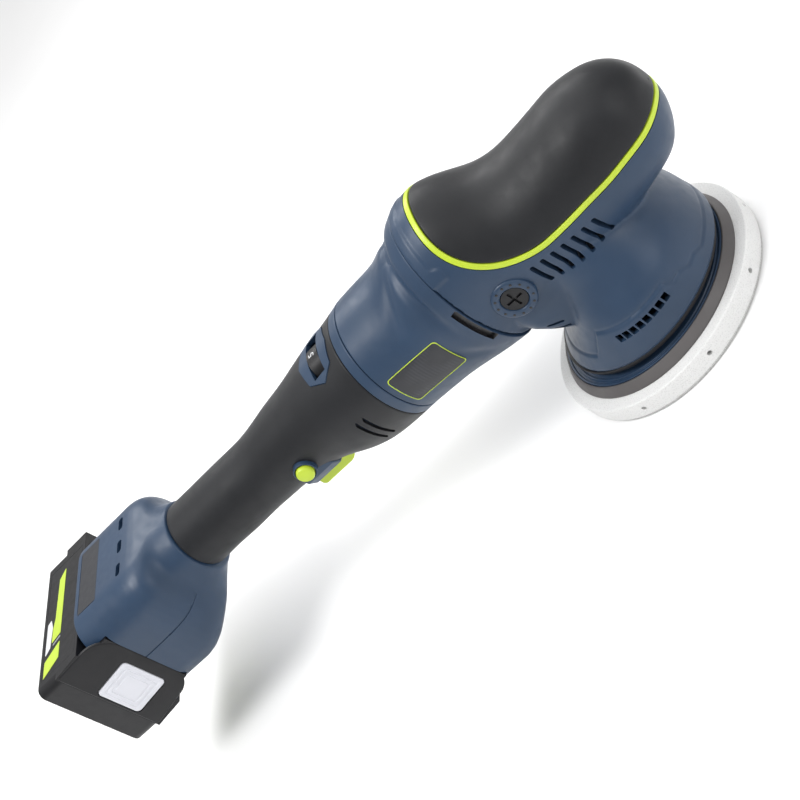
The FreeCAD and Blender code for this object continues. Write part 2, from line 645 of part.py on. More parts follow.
def rounded_section(body, x, half, low, high, low_radius, high_radius):
    """Rounded rectangle square to X, held by the ends of its four sides."""
    sketch = body.newObject("Sketcher::SketchObject", "section")
    sketch.AttachmentSupport = [(origin_plane(body, "YZ_Plane"), "")]
    sketch.MapMode = "FlatFace"
    sketch.AttachmentOffset = Placement(Vector(0, 0, number(x)), Rotation())
    if isinstance(x, Dim):
        sketch.setExpression("AttachmentOffset.Base.z", x.text)
    under, over = low + low_radius, high - high_radius
    narrow, broad = half - high_radius, half - low_radius
    sides = [((-broad, low), (broad, low)), ((half, under), (half, over)),
             ((narrow, high), (-narrow, high)), ((-half, over), (-half, under))]
    corners = [(broad, under, low_radius), (narrow, over, high_radius), (-narrow, over, high_radius),
               (-broad, under, low_radius)]
    for i in range(4):
        start, stop = sides[i]
        sketch.addGeometry(Part.LineSegment(Vector(number(start[0]), number(start[1]), 0),
                                            Vector(number(stop[0]), number(stop[1]), 0)))
        centre = Vector(number(corners[i][0]), number(corners[i][1]), 0)
        first = math.radians(-90.0 + 90.0 * i)
        circle = Part.Circle(centre, Z_AXIS, number(corners[i][2]))
        sketch.addGeometry(Part.ArcOfCircle(circle, first, first + math.pi / 2))
    for i in range(4):
        line, arc, following = 2 * i, 2 * i + 1, (2 * i + 2) % 8
        sketch.addConstraint(Sketcher.Constraint("Tangent", line, 2, arc, 1))
        sketch.addConstraint(Sketcher.Constraint("Coincident", arc, 2, following, 1))
        for end, point in ((1, sides[i][0]), (2, sides[i][1])):
            for kind, size in (("DistanceX", point[0]), ("DistanceY", point[1])):
                index = sketch.addConstraint(Sketcher.Constraint(kind, -1, 1, line, end, number(size)))
                if isinstance(size, Dim):
                    sketch.setExpression("Constraints[%d]" % index, size.text)
    return sketch


def foot_cavity():
    """Hollow of the foot: wiring space in front, and behind it the battery's channel, open to -Y."""
    wall = D.plastic_wall
    half = D.foot_half_width
    room = foot_solid(SIZES["plastic_wall"] + 0.6)
    throat = ring("X", 0.0, D.grip_radius - D.soft_wall - wall - 1.0, -360.0, D.foot_front + 5.0, z=AXIS)
    low = D.pack_low + D.pack_setback - D.free_gap
    high = D.pack_high - D.pack_setback + D.free_gap
    channel = block((-HUGE * 2, -HUGE, low), (D.pack_front + 0.8, half - 5.0, high))
    rail_low = block((-400.0, -half, low - 0.5), (-396.0, half - 5.0, low + 3.0))
    rail_high = block((-400.0, -half, high - 3.0), (-396.0, half - 5.0, high + 0.5))
    contact_window = block((D.pack_front, 14.0, AXIS - 33.0), (D.pack_front + 6.0, 34.0, AXIS + 7.0))
    return [room, throat, cut(channel, rail_low, rail_high), contact_window]


# ---------------------------------------------------------------- controls
def controls():
    """Trigger, lock button, speed wheel and what they work inside the handle."""
    frame = block((D.trigger_rear - 4.0, -11.0, AXIS - 31.0), (D.trigger_front + 7.0, 11.0, AXIS - 19.0))
    slot = block((D.trigger_rear - 1.6, -8.4, AXIS - 40.0), (D.trigger_front + 4.4, 8.4, AXIS - 10.0))
    pin_hole = cylinder(Y_AXIS, 1.5, 24.0, D.trigger_front + 1.0, -12.0, AXIS - 24.0)
    node(cut(frame, slot, pin_hole), "trigger_frame")
    node(cylinder(Y_AXIS, 1.5, 21.6, D.trigger_front + 1.0, -10.8, AXIS - 24.0), "trigger_pin")

    side_view = [(D.trigger_rear, AXIS - 35.0), (D.trigger_front - 10.0, AXIS - 35.0),
                 (D.trigger_front - 1.0, AXIS - 29.0), (D.trigger_front + 3.5, AXIS - 26.0),
                 (D.trigger_front + 3.5, AXIS - 22.0), (D.trigger_front - 1.0, AXIS - 21.0),
                 (D.trigger_rear, AXIS - 24.0)]
    paddle = prism("XZ_Plane", side_view, -8.0, 8.0)
    bore = cylinder(Y_AXIS, 1.5 + D.running_gap, 24.0, D.trigger_front + 1.0, -12.0, AXIS - 24.0)
    node(cut(paddle, bore), "trigger")

    switch = block((-224.0, -8.0, AXIS - 12.0), (-192.0, 8.0, AXIS + 8.0))
    node(switch, "trigger_switch")
    node(ring("Z", 2.2, 3.2, AXIS - 22.4, AXIS - 12.2, x=-218.0), "trigger_spring")

    collar = cut(cylinder(Y_AXIS, 7.4, 8.0, D.button_x, -30.2, D.button_height),
                 cylinder(Y_AXIS, D.button_radius + D.free_gap, 12.0, D.button_x, -32.0, D.button_height))
    node(collar, "lock_collar")
    cap = cylinder(Y_AXIS, D.button_radius, 9.0, D.button_x, -33.0, D.button_height)
    node(cap, "lock_button")
    coil = cut(cylinder(Y_AXIS, 4.0, 9.0, D.button_x, -23.9, D.button_height),
               cylinder(Y_AXIS, 3.0, 12.0, D.button_x, -25.0, D.button_height))
    node(coil, "lock_spring")

    wheel = ring("X", 2.0 + D.running_gap, D.wheel_radius, D.wheel_x - 4.6, D.wheel_x + 4.6)
    grooves = []
    for i in range(24):
        notch = block((D.wheel_x - 5.0, -0.5, D.wheel_radius - 0.7),
                      (D.wheel_x + 5.0, 0.5, D.wheel_radius + 1.0))
        grooves.append(place(notch, rotation=Rotation(X_AXIS, 120.0 + 5.0 * i)))
    ribbed = cut(wheel, join(grooves))
    lean = math.radians(SIZES["wheel_lean"])
    place(ribbed, 0.0, -SIZES["wheel_height"] * math.sin(lean),
          AXIS + SIZES["wheel_height"] * math.cos(lean), Rotation(X_AXIS, SIZES["wheel_lean"]))
    node(ribbed, "speed_wheel")

    board = block((-172.0, -12.0, 6.0), (-132.0, 12.0, 8.0))
    stub = ring("X", 0.0, 2.0, D.wheel_x - 8.0, D.wheel_x + 8.0, z=D.wheel_height)
    posts = [block((D.wheel_x + x, -4.0, 7.9), (D.wheel_x + x + 2.0, 4.0, 28.0)) for x in (-8.0, 6.0)]
    node(leaning(join([board, stub] + posts)), "speed_board")


# ---------------------------------------------------------------- front housings
def head_stations():
    """(x, low, high, half width) of the head from the motor seam to the nose."""
    wide = D.head_half_width
    rows = [(D.seam_head, -49.0, 59.0, wide + 2.0), (-34.0, -45.8, 61.7, wide),
            (-18.0, -45.0, 55.0, wide - 0.5), (-2.0, -44.2, 44.8, wide - 1.0),
            (14.0, -43.1, 40.6, wide - 0.9), (30.0, -41.1, 40.9, wide - 1.4),
            (46.0, -38.0, 42.5, wide - 3.0), (62.0, -33.9, 43.8, wide - 4.6),
            (76.0, -30.8, 42.7, wide - 8.4), (87.0, -26.5, 39.5, wide - 12.2),
            (95.5, -18.5, 33.8, wide - 18.4), (D.nose_front - 3.1, -8.5, 27.0, wide - 27.2),
            (D.nose_front, 1.0, 19.0, 6.0)]
    return [(x, AXIS + low, AXIS + high, half) for x, low, high, half in rows]


def shroud_loft(inset=0.0, start=0.0):
    """Bell over the pad: hollow-backed towards the battery, full at the front and the sides."""
    wide = D.skirt_half_width
    rows = [(-55.0, 65.0, wide), (-46.0, 65.0, wide), (-37.0, 64.0, wide - 0.5), (-30.0, 61.5, wide - 3.5),
            (-27.5, 59.0, wide - 10.5), (-26.5, 56.5, wide - 15.5), (-26.0, 50.0, wide - 18.5),
            (-26.0, 42.0, wide - 22.0)]
    sections = []
    for i, (rear, front, half) in enumerate(rows):
        oval = fresh("Part::Ellipse")
        bind(oval, MajorRadius=half - inset, MinorRadius=(front - rear) / 2 - inset - ROUND_OFF)
        height = D.skirt_low + 10.0 * i - (start if i == 0 else 0.0)
        place(oval, (front + rear) / 2, 0.0, height, Rotation(Z_AXIS, 90.0))
        sections.append(oval)
    loft = fresh("Part::Loft")
    loft.Sections = sections
    loft.Solid = True
    loft.Ruled = False
    return loft


def above_band(offset):
    """Space above the grip's lower edge: level at the sides and nose, rising behind in an arc."""
    rise = 51.0
    centre_x = 13.0
    centre_z = D.band_height + rise
    arc = []
    for i in range(7):
        turn = math.radians(180.0 + 15.0 * i)
        arc.append((centre_x + (rise - offset) * math.cos(turn), centre_z + (rise - offset) * math.sin(turn)))
    rear_x = centre_x - (rise - offset)
    points = [(rear_x, AXIS + 120.0)] + arc + [(HUGE / 2, D.band_height + offset), (HUGE / 2, AXIS + 120.0)]
    return prism("XZ_Plane", points, -HUGE, HUGE)


def head():
    """Head shell with its skirt, the soft top grip and the coloured band between them."""
    stations = head_stations()
    skin = oval_loft(stations)
    under_soft = oval_loft(stations, D.soft_wall + 0.8)
    inside = oval_loft(stations, D.soft_wall + 0.8 + D.plastic_wall)
    over_band = above_band(0.0)
    over_grip = above_band(SIZES["band_width"])
    layer = cut(skin, under_soft)
    node(common(layer, over_grip), "head_grip")
    node(common(layer, cut(over_band, over_grip)), "lime_band")

    bell = shroud_loft()
    bell_inside = shroud_loft(D.plastic_wall, 1.0)
    barrel = cut(skin, common(layer, over_band))
    slots = []
    for i in range(7):
        x = -5.0 + 7.2 * i
        top = AXIS - 0.86 * i           # the row of slots falls a little towards the nose
        for start, stop in ((-HUGE, -30.0), (30.0, HUGE)):
            slots.append(block((x - 1.5, start, top - 17.5), (x + 1.5, stop, top)))
    ports = []
    for i in range(8):
        for start in (-93.0, 60.0):
            port = block((46.0, -2.0, 43.5), (72.0, 2.0, 48.5))
            ports.append(place(port, rotation=Rotation(Z_AXIS, start + 4.7 * i)))
    plug_holes = cylinder(Y_AXIS, PLUG_RADIUS + 0.3, 120.0, PLUG_X, -60.0, PLUG_Z)
    hollow = cut(join([barrel, bell]), inside, bell_inside)
    shell = cut(hollow, plug_holes, join(slots), join(ports))
    node(shell, "head_shell")


def motor_housing():
    """Front housing: round where it meets the handle, flaring to the head's section."""
    radius = D.motor_radius
    wide = D.head_half_width
    rows = [(D.seam_handle + 0.4, -radius, radius, radius),
            (-104.0, -radius - 0.7, radius + 0.7, radius + 0.7),
            (-88.0, -radius - 1.8, radius + 1.8, radius + 1.8),
            (-74.0, -radius - 4.6, radius + 7.0, radius + 2.6),
            (-62.0, -radius - 7.0, radius + 13.0, wide + 2.8),
            (D.seam_head - 0.4, -radius - 8.5, radius + 18.0, wide + 3.0)]
    stations = [(x, AXIS + low, AXIS + high, half) for x, low, high, half in rows]
    outer = oval_loft(stations)
    inner = oval_loft([(stations[0][0] - 1.0,) + stations[0][1:]] + stations[1:-1]
                      + [(stations[-1][0] + 1.0,) + stations[-1][1:]], D.plastic_wall)
    label_area = block((-116.0, -60.0, 94.0), (-76.0, 0.0, 118.0))
    bulkhead = ring("X", D.can_radius, D.motor_radius - 2.0, -114.0, -110.0, z=AXIS)
    front_web = ring("X", 32.0, D.motor_radius + 1.0, -68.0, -64.0, z=AXIS)
    bosses = [cylinder(X_AXIS, 4.0, 13.4, -65.8, y, z) for y, z in flange_screw_places()]
    screw_holes = [cylinder(X_AXIS, 2.1, 20.0, -67.0, y, z) for y, z in flange_screw_places()]
    slot = block((D.seam_head - 5.4, -60.0, 92.0), (D.seam_head - 0.8, -38.0, 123.0))
    tail = ring("X", 13.0, D.motor_radius - 6.5, -131.0, -121.2, z=AXIS)
    node(cut(join([cut(outer, inner), bulkhead, front_web] + bosses), slot, *screw_holes), "motor_housing")
    node(tail, "bearing_carrier")
    label = common(cut(oval_loft(stations, -0.25), outer), label_area)
    return label


# ---------------------------------------------------------------- battery
def slant():
    """Direction angle of the battery's leaning end, in degrees from +X, and the middle of that face."""
    run = SIZES["pack_front"] - SIZES["pack_split"]
    angle = math.degrees(math.atan2(SIZES["pack_slant"], run))
    return angle, (D.pack_split + D.pack_front) / 2, -D.pack_half_length + D.pack_slant / 2


def battery():
    """Slide-on battery: tray, upper case, labels, cells, board and contacts."""
    half = D.pack_half_length
    low, high = D.pack_low, D.pack_high
    tray = block((D.pack_rear, -half, low), (D.pack_split, half, high), 6.0, X_AXIS)
    hollow = block((D.pack_rear + 2.5, -half + 2.5, low + 2.5), (D.pack_split + 1.0, half - 2.5, high - 2.5))
    recess_low = (D.pack_rear + 3.0, -half + 10.0)
    recess_high = (D.pack_step - 3.0, half - 10.0)
    recesses = [block(recess_low + (high - 0.3,), recess_high + (high + 1.0,)),
                block(recess_low + (low - 1.0,), recess_high + (low + 0.3,))]
    node(cut(tray, hollow, *recesses), "battery_tray")
    label_low = (D.pack_rear + 3.2, -half + 10.2)
    label_high = (D.pack_step - 3.2, half - 10.2)
    labels = [block(label_low + (high - 0.3,), label_high + (high - 0.05,)),
              block(label_low + (low + 0.05,), label_high + (low + 0.3,))]
    node(group(labels), "battery_labels")

    top_low = low + D.pack_setback
    top_high = high - D.pack_setback
    front = D.pack_front
    foot_wall = D.foot_half_width - 5.0
    lean = D.pack_slant * ((D.pack_step - D.pack_split) / (D.pack_front - D.pack_split))
    wide = [(D.pack_split, -half), (D.pack_step, -half + lean), (D.pack_step, half), (D.pack_split, half)]
    narrow = [(D.pack_step - 1.0, -half + lean), (front, -half + D.pack_slant),
              (front, foot_wall - D.free_gap), (D.pack_step - 1.0, foot_wall - D.free_gap)]
    base = prism("XY_Plane", wide, low, high)
    tower = prism("XY_Plane", narrow, top_low, top_high)
    base_room = block((D.pack_split - 1.0, -half + 14.8, low + 2.5),
                      (D.pack_step - 2.2, half - 2.5, high - 2.5))
    tower_room = block((D.pack_step - 4.0, -half + 19.0, top_low + 5.6),
                       (front - 2.4, foot_wall - 3.0, top_high - 5.6))
    grooves = [block((-400.5, -HUGE, top_low - 1.0), (-395.5, HUGE, top_low + 3.4)),
               block((-400.5, -HUGE, top_high - 3.4), (-395.5, HUGE, top_high + 1.0))]
    slots = [block((front - 13.0, 13.0, z - 1.2), (front + 1.0, HUGE, z + 1.2)) for z in blade_heights()]
    well = release_block(D.release_half_length + D.free_gap, -6.0, 9.5, 16.9)
    case = cut(join([base, tower]), base_room, tower_room, well, *(grooves + slots + recesses))
    node(case, "battery_case")

    cells = []
    for layer in (D.pack_rear + 12.0, D.pack_rear + 30.3):
        for i in range(5):
            y = 18.6 * (i - 2) + 5.0
            cells.append(cylinder(Z_AXIS, D.cell_radius, D.cell_length, layer, y, AXIS - 45.2))
    node(group(cells), "battery_cells")
    board = block((front - 15.6, -20.0, top_low + 8.0), (front - 14.0, foot_wall - 4.0, top_high - 8.0))
    clips = []
    for z in blade_heights():
        base_plate = block((front - 13.9, 16.0, z - 2.0), (front - 13.3, 28.0, z + 2.0))
        jaws = [block((front - 13.4, 16.0, z + side), (front - 4.0, 28.0, z + side + 0.6))
                for side in (-2.0, 1.4)]
        clips.append(join([base_plate] + jaws))
    node(group([board] + clips), "battery_contact_board")


def blade_heights():
    return [AXIS - 26.0, AXIS - 13.0, AXIS]


def release_block(half_length, outer, inner, half_height):
    """Box square to the battery's leaning end; outer and inner are depths behind that face."""
    angle, x, y = slant()
    body = block((-half_length, outer, -half_height), (half_length, inner, half_height), 3.0, Y_AXIS)
    along = Rotation(Z_AXIS, angle).multVec(Vector(SIZES["release_shift"], 0, 0))
    return place(body, x + along.x, y + along.y, AXIS - D.release_drop, Rotation(Z_AXIS, angle))


def release():
    """Release button in its well, and the spring behind it."""
    node(release_block(D.release_half_length, -0.7, 3.2, 16.5), "release_button")
    angle, x, y = slant()
    turn = Rotation(Z_AXIS, angle)
    inward = turn.multVec(Y_AXIS)
    seat = turn.multVec(Vector(SIZES["release_shift"], 3.4, 0))
    coil = cylinder(inward, 5.0, 6.0, x + seat.x, y + seat.y, AXIS - D.release_drop)
    bore = cylinder(inward, 4.0, 8.0, x + seat.x - inward.x, y + seat.y - inward.y, AXIS - D.release_drop)
    node(cut(coil, bore), "release_spring")


def wiring():
    """Contact block in the foot and the leads to the switch and the motor."""
    front = D.pack_front
    holder = block((front + 1.0, 14.4, AXIS - 32.6), (front + 9.0, 33.6, AXIS + 6.6))
    node(holder, "contact_block")
    blades = [block((front - 12.0, 17.0, z - 0.6), (front + 0.9, 27.0, z + 0.6)) for z in blade_heights()]
    node(group(blades), "contact_blades")
    supply = [cylinder(X_AXIS, 1.3, 153.0, front + 9.2, 15.0, z) for z in (AXIS - 6.0, AXIS - 2.0)]
    motor_pair = [cylinder(X_AXIS, 1.3, 60.0, -191.8, y, AXIS + 3.0) for y in (-5.0, 5.0)]
    node(group(supply + motor_pair), "wiring")


working_end()
drive()
gearbox()
motor()
foot_plate = handle()
controls()
head()
body_label = motor_housing()
node(group([body_label, foot_plate]), "nameplates")
battery()
release()
wiring()

doc.recompute()
problems = []
for obj in doc.Objects:
    if "Invalid" in obj.State or "Error" in obj.State:
        problems.append("%s (%s): %s" % (obj.Name, obj.Label, obj.State))
for obj in NODES:
    shape = obj.Shape
    if shape.isNull() or not shape.isValid() or not shape.Solids:
        problems.append("%s: shape is null or not valid" % obj.Label)
if problems:
    raise SystemExit("\n".join(problems))
for obj in NODES:
    obj.Shape.exportStep("parts/%s.step" % obj.Label)
    print("%-24s %2d solids %10.0f mm3" % (obj.Label, len(obj.Shape.Solids), obj.Shape.Volume))
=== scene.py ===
"""Looks of the cordless dual action polisher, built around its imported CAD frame.

Lengths are written in millimetres and turned into metres where a mesh is made.
"""

import json
import math

import bmesh
import bpy
import numpy as np
from mathutils import Matrix, Vector


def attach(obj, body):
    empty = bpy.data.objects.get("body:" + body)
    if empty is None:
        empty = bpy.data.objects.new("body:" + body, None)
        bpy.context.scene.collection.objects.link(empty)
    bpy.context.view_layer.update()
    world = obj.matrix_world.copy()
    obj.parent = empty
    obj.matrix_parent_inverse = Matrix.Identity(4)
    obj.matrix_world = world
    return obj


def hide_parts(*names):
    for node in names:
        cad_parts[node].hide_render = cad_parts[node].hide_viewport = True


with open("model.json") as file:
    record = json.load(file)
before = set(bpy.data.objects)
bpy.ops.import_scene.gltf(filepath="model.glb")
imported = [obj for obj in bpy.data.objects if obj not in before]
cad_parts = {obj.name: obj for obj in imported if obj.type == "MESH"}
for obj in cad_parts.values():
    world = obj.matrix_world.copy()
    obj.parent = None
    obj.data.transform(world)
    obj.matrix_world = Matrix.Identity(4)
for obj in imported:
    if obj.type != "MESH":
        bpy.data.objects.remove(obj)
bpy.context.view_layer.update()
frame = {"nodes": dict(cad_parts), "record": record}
nodes = frame["nodes"]

MM = 0.001
AXIS = 109.0            # height of the handle and motor axis
BAND = 3.6              # width of the coloured band
RISE = 51.0             # radius of the band's arc behind the grip
ARC_X = 15.5            # where the arc begins
LEVEL = AXIS + 2.2      # lower edge of the band's level stretch
ARC_Z = LEVEL + RISE
GRIP_R = 24.0
LEAN = math.radians(10.0)           # turn of the speed dial about the axis, towards the right side
DIAL_X, DIAL_REACH = -148.5, 25.4   # place of the speed dial and distance of its axle from the axis
LOCK = (-209.0, 105.0)              # X and Z of the lock button
PLUG = (-26.0, 102.0)               # X and Z of the side-handle plugs
HEAD_REAR = -49.6
SHROUD_X = 3.5                      # middle of the bell's open end
PACK_REAR, PACK_FRONT = -431.0, -388.0
PACK_LOW, PACK_TOP = 56.0, 136.5
END_Y, END_RISE, END_RUN = -56.5, 9.0, 43.0     # the battery's leaning end, seen from above
RAIL = 8.9                          # height of the battery's rails
DEEP = 2.9                          # depth of the top grip and of the band
LENS = 84.735                       # focal length of the view


# ---------------------------------------------------------------- camera and light
def camera():
    data = bpy.data.cameras.new("view")
    data.sensor_width = 36.0
    data.lens = LENS
    data.clip_start = 0.05
    data.clip_end = 20.0
    obj = bpy.data.objects.new("view", data)
    bpy.context.scene.collection.objects.link(obj)
    back = Vector((0.493, -0.735, 0.466)).normalized()
    right = Vector((0.637, -0.060, -0.769))
    right = (right - back * right.dot(back)).normalized()
    up = back.cross(right)
    turn = Matrix((right, up, back)).transposed().to_4x4()
    obj.matrix_world = Matrix.Translation((0.4101, -0.8345, 0.6071)) @ turn
    bpy.context.scene.camera = obj


def softbox(name, place, size, power, target=(-0.13, 0.0, 0.08), tint=(1, 1, 1)):
    data = bpy.data.lights.new(name, "AREA")
    data.shape = "RECTANGLE"
    data.size, data.size_y = size
    data.energy = power
    data.color = tint
    obj = bpy.data.objects.new(name, data)
    bpy.context.scene.collection.objects.link(obj)
    aim = Vector(target) - Vector(place)
    obj.matrix_world = Matrix.Translation(place) @ aim.to_track_quat("-Z", "Y").to_matrix().to_4x4()


def studio():
    world = bpy.data.worlds.new("studio")
    bpy.context.scene.world = world
    world.use_nodes = True
    sky = world.node_tree.nodes["Background"]
    sky.inputs["Color"].default_value = (1.0, 1.0, 1.0, 1.0)
    sky.inputs["Strength"].default_value = 0.55
    softbox("key", (-0.55, -0.45, 1.5), (0.8, 0.6), 13.0)
    softbox("fill", (0.95, -0.55, 0.65), (0.7, 0.7), 3.5)
    softbox("rim", (-0.35, 0.95, 0.95), (1.2, 0.4), 7.0)
    softbox("ceiling", (0.0, 0.6, 3.2), (4.0, 4.0), 60.0)
    bpy.context.scene.view_settings.view_transform = "Standard"


# ---------------------------------------------------------------- materials
class Graph:
    """A principled material whose look comes from noise in the object's own space."""

    def __init__(self, name):
        self.material = bpy.data.materials.new(name)
        self.material.use_nodes = True
        self.tree = self.material.node_tree
        self.shader = self.tree.nodes["Principled BSDF"]
        self.space = self.tree.nodes.new("ShaderNodeTexCoord").outputs["Object"]

    def put(self, kind, links=(), **values):
        item = self.tree.nodes.new(kind)
        for key, value in values.items():
            if hasattr(item, key):
                setattr(item, key, value)
            else:
                item.inputs[key.replace("_", " ")].default_value = value
        for socket, source in links:
            self.tree.links.new(source, item.inputs[socket])
        return item

    def noise(self, scale, detail=3.0, stretch=None):
        space = self.space
        if stretch:
            space = self.put("ShaderNodeMapping", [("Vector", space)], Scale=stretch).outputs[0]
        return self.put("ShaderNodeTexNoise", [("Vector", space)], Scale=scale, Detail=detail).outputs["Fac"]

    def cells(self, scale, feature="F1"):
        return self.put("ShaderNodeTexVoronoi", [("Vector", self.space)], feature=feature,
                        Scale=scale).outputs["Distance"]

    def ramp(self, source, stops):
        item = self.put("ShaderNodeValToRGB", [("Fac", source)])
        band = item.color_ramp.elements
        for i, (at, colour) in enumerate(stops):
            stop = band[i] if i < 2 else band.new(at)
            stop.position = at
            stop.color = tuple(colour) + (1.0,)
        return item.outputs["Color"]

    def grey(self, source, low, high, start=0.3, stop=0.7):
        return self.ramp(source, [(start, (low,) * 3), (stop, (high,) * 3)])

    def math(self, mode, a, b):
        item = self.tree.nodes.new("ShaderNodeMath")
        item.operation = mode
        for i, value in enumerate((a, b)):
            if isinstance(value, (int, float)):
                item.inputs[i].default_value = value
            else:
                self.tree.links.new(value, item.inputs[i])
        return item.outputs[0]

    def bump(self, source, depth, under=None):
        links = [("Height", source)] + ([("Normal", under)] if under else [])
        return self.put("ShaderNodeBump", links, Strength=1.0, Distance=depth).outputs["Normal"]

    def finish(self, colour, rough, normal=None, **values):
        for socket, source in (("Base Color", colour), ("Roughness", rough), ("Normal", normal)):
            if source is not None:
                self.tree.links.new(source, self.shader.inputs[socket])
        for key, value in values.items():
            self.shader.inputs[key.replace("_", " ")].default_value = value
        return self.material


def tint(rgb, factor):
    return tuple(min(1.0, c * factor) for c in rgb)


def srgb(r, g, b):
    return tuple(((c / 255.0) / 12.92 if c / 255.0 <= 0.04045 else ((c / 255.0 + 0.055) / 1.055) ** 2.4)
                 for c in (r, g, b))


def plastic(name, rgb, rough, grain=2600.0, depth=0.00001, spread=0.07, **values):
    """Moulded plastic: fine spark-eroded grain, slow tone changes and handling marks in the gloss."""
    g = Graph(name)
    slow = g.noise(35.0, 4.0)
    colour = g.ramp(slow, [(0.3, tint(rgb, 1 - spread)), (0.7, tint(rgb, 1 + spread))])
    gloss = g.grey(g.noise(160.0, 5.0), rough - 0.05, rough + 0.07)
    return g.finish(colour, gloss, g.bump(g.noise(grain, 2.0), depth), **values)


def soft_touch(name, rgb, rough):
    g = Graph(name)
    colour = g.ramp(g.noise(28.0, 5.0), [(0.3, tint(rgb, 0.86)), (0.72, tint(rgb, 1.18))])
    gloss = g.grey(g.noise(90.0, 6.0), rough - 0.05, rough + 0.09)
    grain = g.bump(g.cells(1900.0), 0.000012)
    return g.finish(colour, gloss, g.bump(g.noise(5200.0, 2.0), 0.000006, grain), Sheen_Weight=0.08,
                    Sheen_Roughness=0.4, Specular_IOR_Level=0.3)


def foam(name, rgb):
    g = Graph(name)
    cells = g.cells(950.0)
    colour = g.ramp(cells, [(0.05, tint(rgb, 0.80)), (0.42, rgb)])
    gloss = g.grey(g.noise(300.0), 0.75, 0.92)
    coarse = g.bump(g.noise(130.0, 4.0), 0.00012)
    return g.finish(colour, gloss, g.bump(cells, 0.00016, coarse), Sheen_Weight=0.2)


def hooks(name, rgb):
    g = Graph(name)
    loops = g.put("ShaderNodeTexVoronoi", [("Vector", g.space)], Scale=1400.0, Randomness=0.25
                  ).outputs["Distance"]
    colour = g.ramp(loops, [(0.1, rgb), (0.55, tint(rgb, 0.66))])
    return g.finish(colour, g.grey(g.noise(500.0), 0.8, 0.95), g.bump(loops, 0.0003), Sheen_Weight=0.35)


def metal(name, rgb, rough, stretch=(1.0, 1.0, 1.0), scale=1500.0):
    g = Graph(name)
    lines = g.noise(scale, 3.0, stretch)
    colour = g.ramp(g.noise(45.0, 4.0), [(0.3, tint(rgb, 0.82)), (0.7, rgb)])
    return g.finish(colour, g.grey(lines, rough - 0.08, rough + 0.12), g.bump(lines, 0.000008), Metallic=1.0)


def film(name, rgb, pitch=900.0):
    """Printed label film with a fine woven-looking grid."""
    g = Graph(name)
    waves = [g.put("ShaderNodeTexWave", [("Vector", g.space)], bands_direction=way, Scale=pitch / 6.28
                   ).outputs["Fac"] for way in ("X", "Y")]
    mesh = g.math("MULTIPLY", waves[0], waves[1])
    colour = g.ramp(mesh, [(0.1, tint(rgb, 0.78)), (0.8, tint(rgb, 1.25))])
    return g.finish(colour, g.grey(g.noise(200.0), 0.34, 0.46), g.bump(mesh, 0.00001))


BLUE = srgb(40, 60, 84)
M = {
    "blue": plastic("blue_satin", BLUE, 0.38, 2600.0, 0.000012, 0.06, Specular_IOR_Level=0.4),
    "seam": plastic("shadow_gap", srgb(14, 18, 26), 0.6),
    "black": plastic("black_satin", srgb(20, 20, 23), 0.42, 2400.0, 0.00002, 0.1, Specular_IOR_Level=0.35),
    "dark": plastic("black_gloss", srgb(17, 17, 20), 0.3, 2000.0, 0.000006, 0.1),
    "lime": plastic("lime_satin", srgb(186, 208, 52), 0.33, 2600.0, 0.000008, 0.04, Subsurface_Weight=0.06,
                    Subsurface_Radius=(0.002, 0.003, 0.001)),
    "white": plastic("button_satin", srgb(214, 215, 222), 0.34, 2600.0, 0.000008, 0.03),
    "rim": plastic("moulded_polyurethane", srgb(88, 85, 85), 0.5, 1500.0, 0.00003, 0.09),
    "soft": soft_touch("soft_touch", srgb(27, 28, 31), 0.46),
    "foam": foam("closed_cell_foam", srgb(226, 226, 225)),
    "hook": hooks("hook_face", srgb(228, 228, 226)),
    "film": film("dark_film", srgb(36, 38, 44)),
    "sticker": plastic("sticker_green", srgb(176, 200, 60), 0.4, 1500.0, 0.000004, 0.05),
    "silver": plastic("silver_film", srgb(176, 178, 184), 0.3, 1500.0, 0.000004, 0.06, Metallic=0.6),
    "steel": metal("ground_steel", srgb(196, 198, 202), 0.3, (1.0, 1.0, 14.0)),
    "cast": metal("die_cast", srgb(190, 191, 194), 0.5, scale=900.0),
    "copper": metal("enamelled_copper", srgb(200, 120, 70), 0.32, (1.0, 10.0, 1.0), 2500.0),
    "magnet": plastic("ferrite", srgb(58, 58, 62), 0.6, 1600.0, 0.00004, 0.12),
    "carbon": plastic("pressed_carbon", srgb(48, 48, 50), 0.75, 1800.0, 0.00005, 0.15),
    "board": plastic("circuit_board", srgb(22, 96, 60), 0.4, 700.0, 0.00002, 0.18),
    "cell": plastic("cell_wrap", srgb(45, 110, 175), 0.32, 900.0, 0.00001, 0.1),
    "felt": foam("felt", srgb(140, 136, 128)),
    "wire": plastic("wire_red", srgb(165, 32, 30), 0.4, 1200.0, 0.00001, 0.1),
    "digit": plastic("dial_print", srgb(205, 206, 208), 0.5, 1800.0, 0.000003, 0.05),
}
SLOT_LOOK = {"blue_plastic": "blue", "black_soft": "soft", "lime_plastic": "lime", "pad_white": "foam",
             "hook_fabric": "hook", "plate_grey": "rim", "black_plastic": "black", "label_dark": "film",
             "button_white": "white", "steel": "steel", "cast_metal": "cast", "copper": "copper",
             "magnet": "magnet", "carbon": "carbon", "board_green": "board", "cell_wrap": "cell",
             "seal_felt": "felt", "wire_red": "wire"}


def dress_nodes():
    for row in frame["record"]["subparts"]:
        obj = nodes[row["node"]]
        obj.data.materials.clear()
        obj.data.materials.append(M[SLOT_LOOK[row["material_slot"]]])


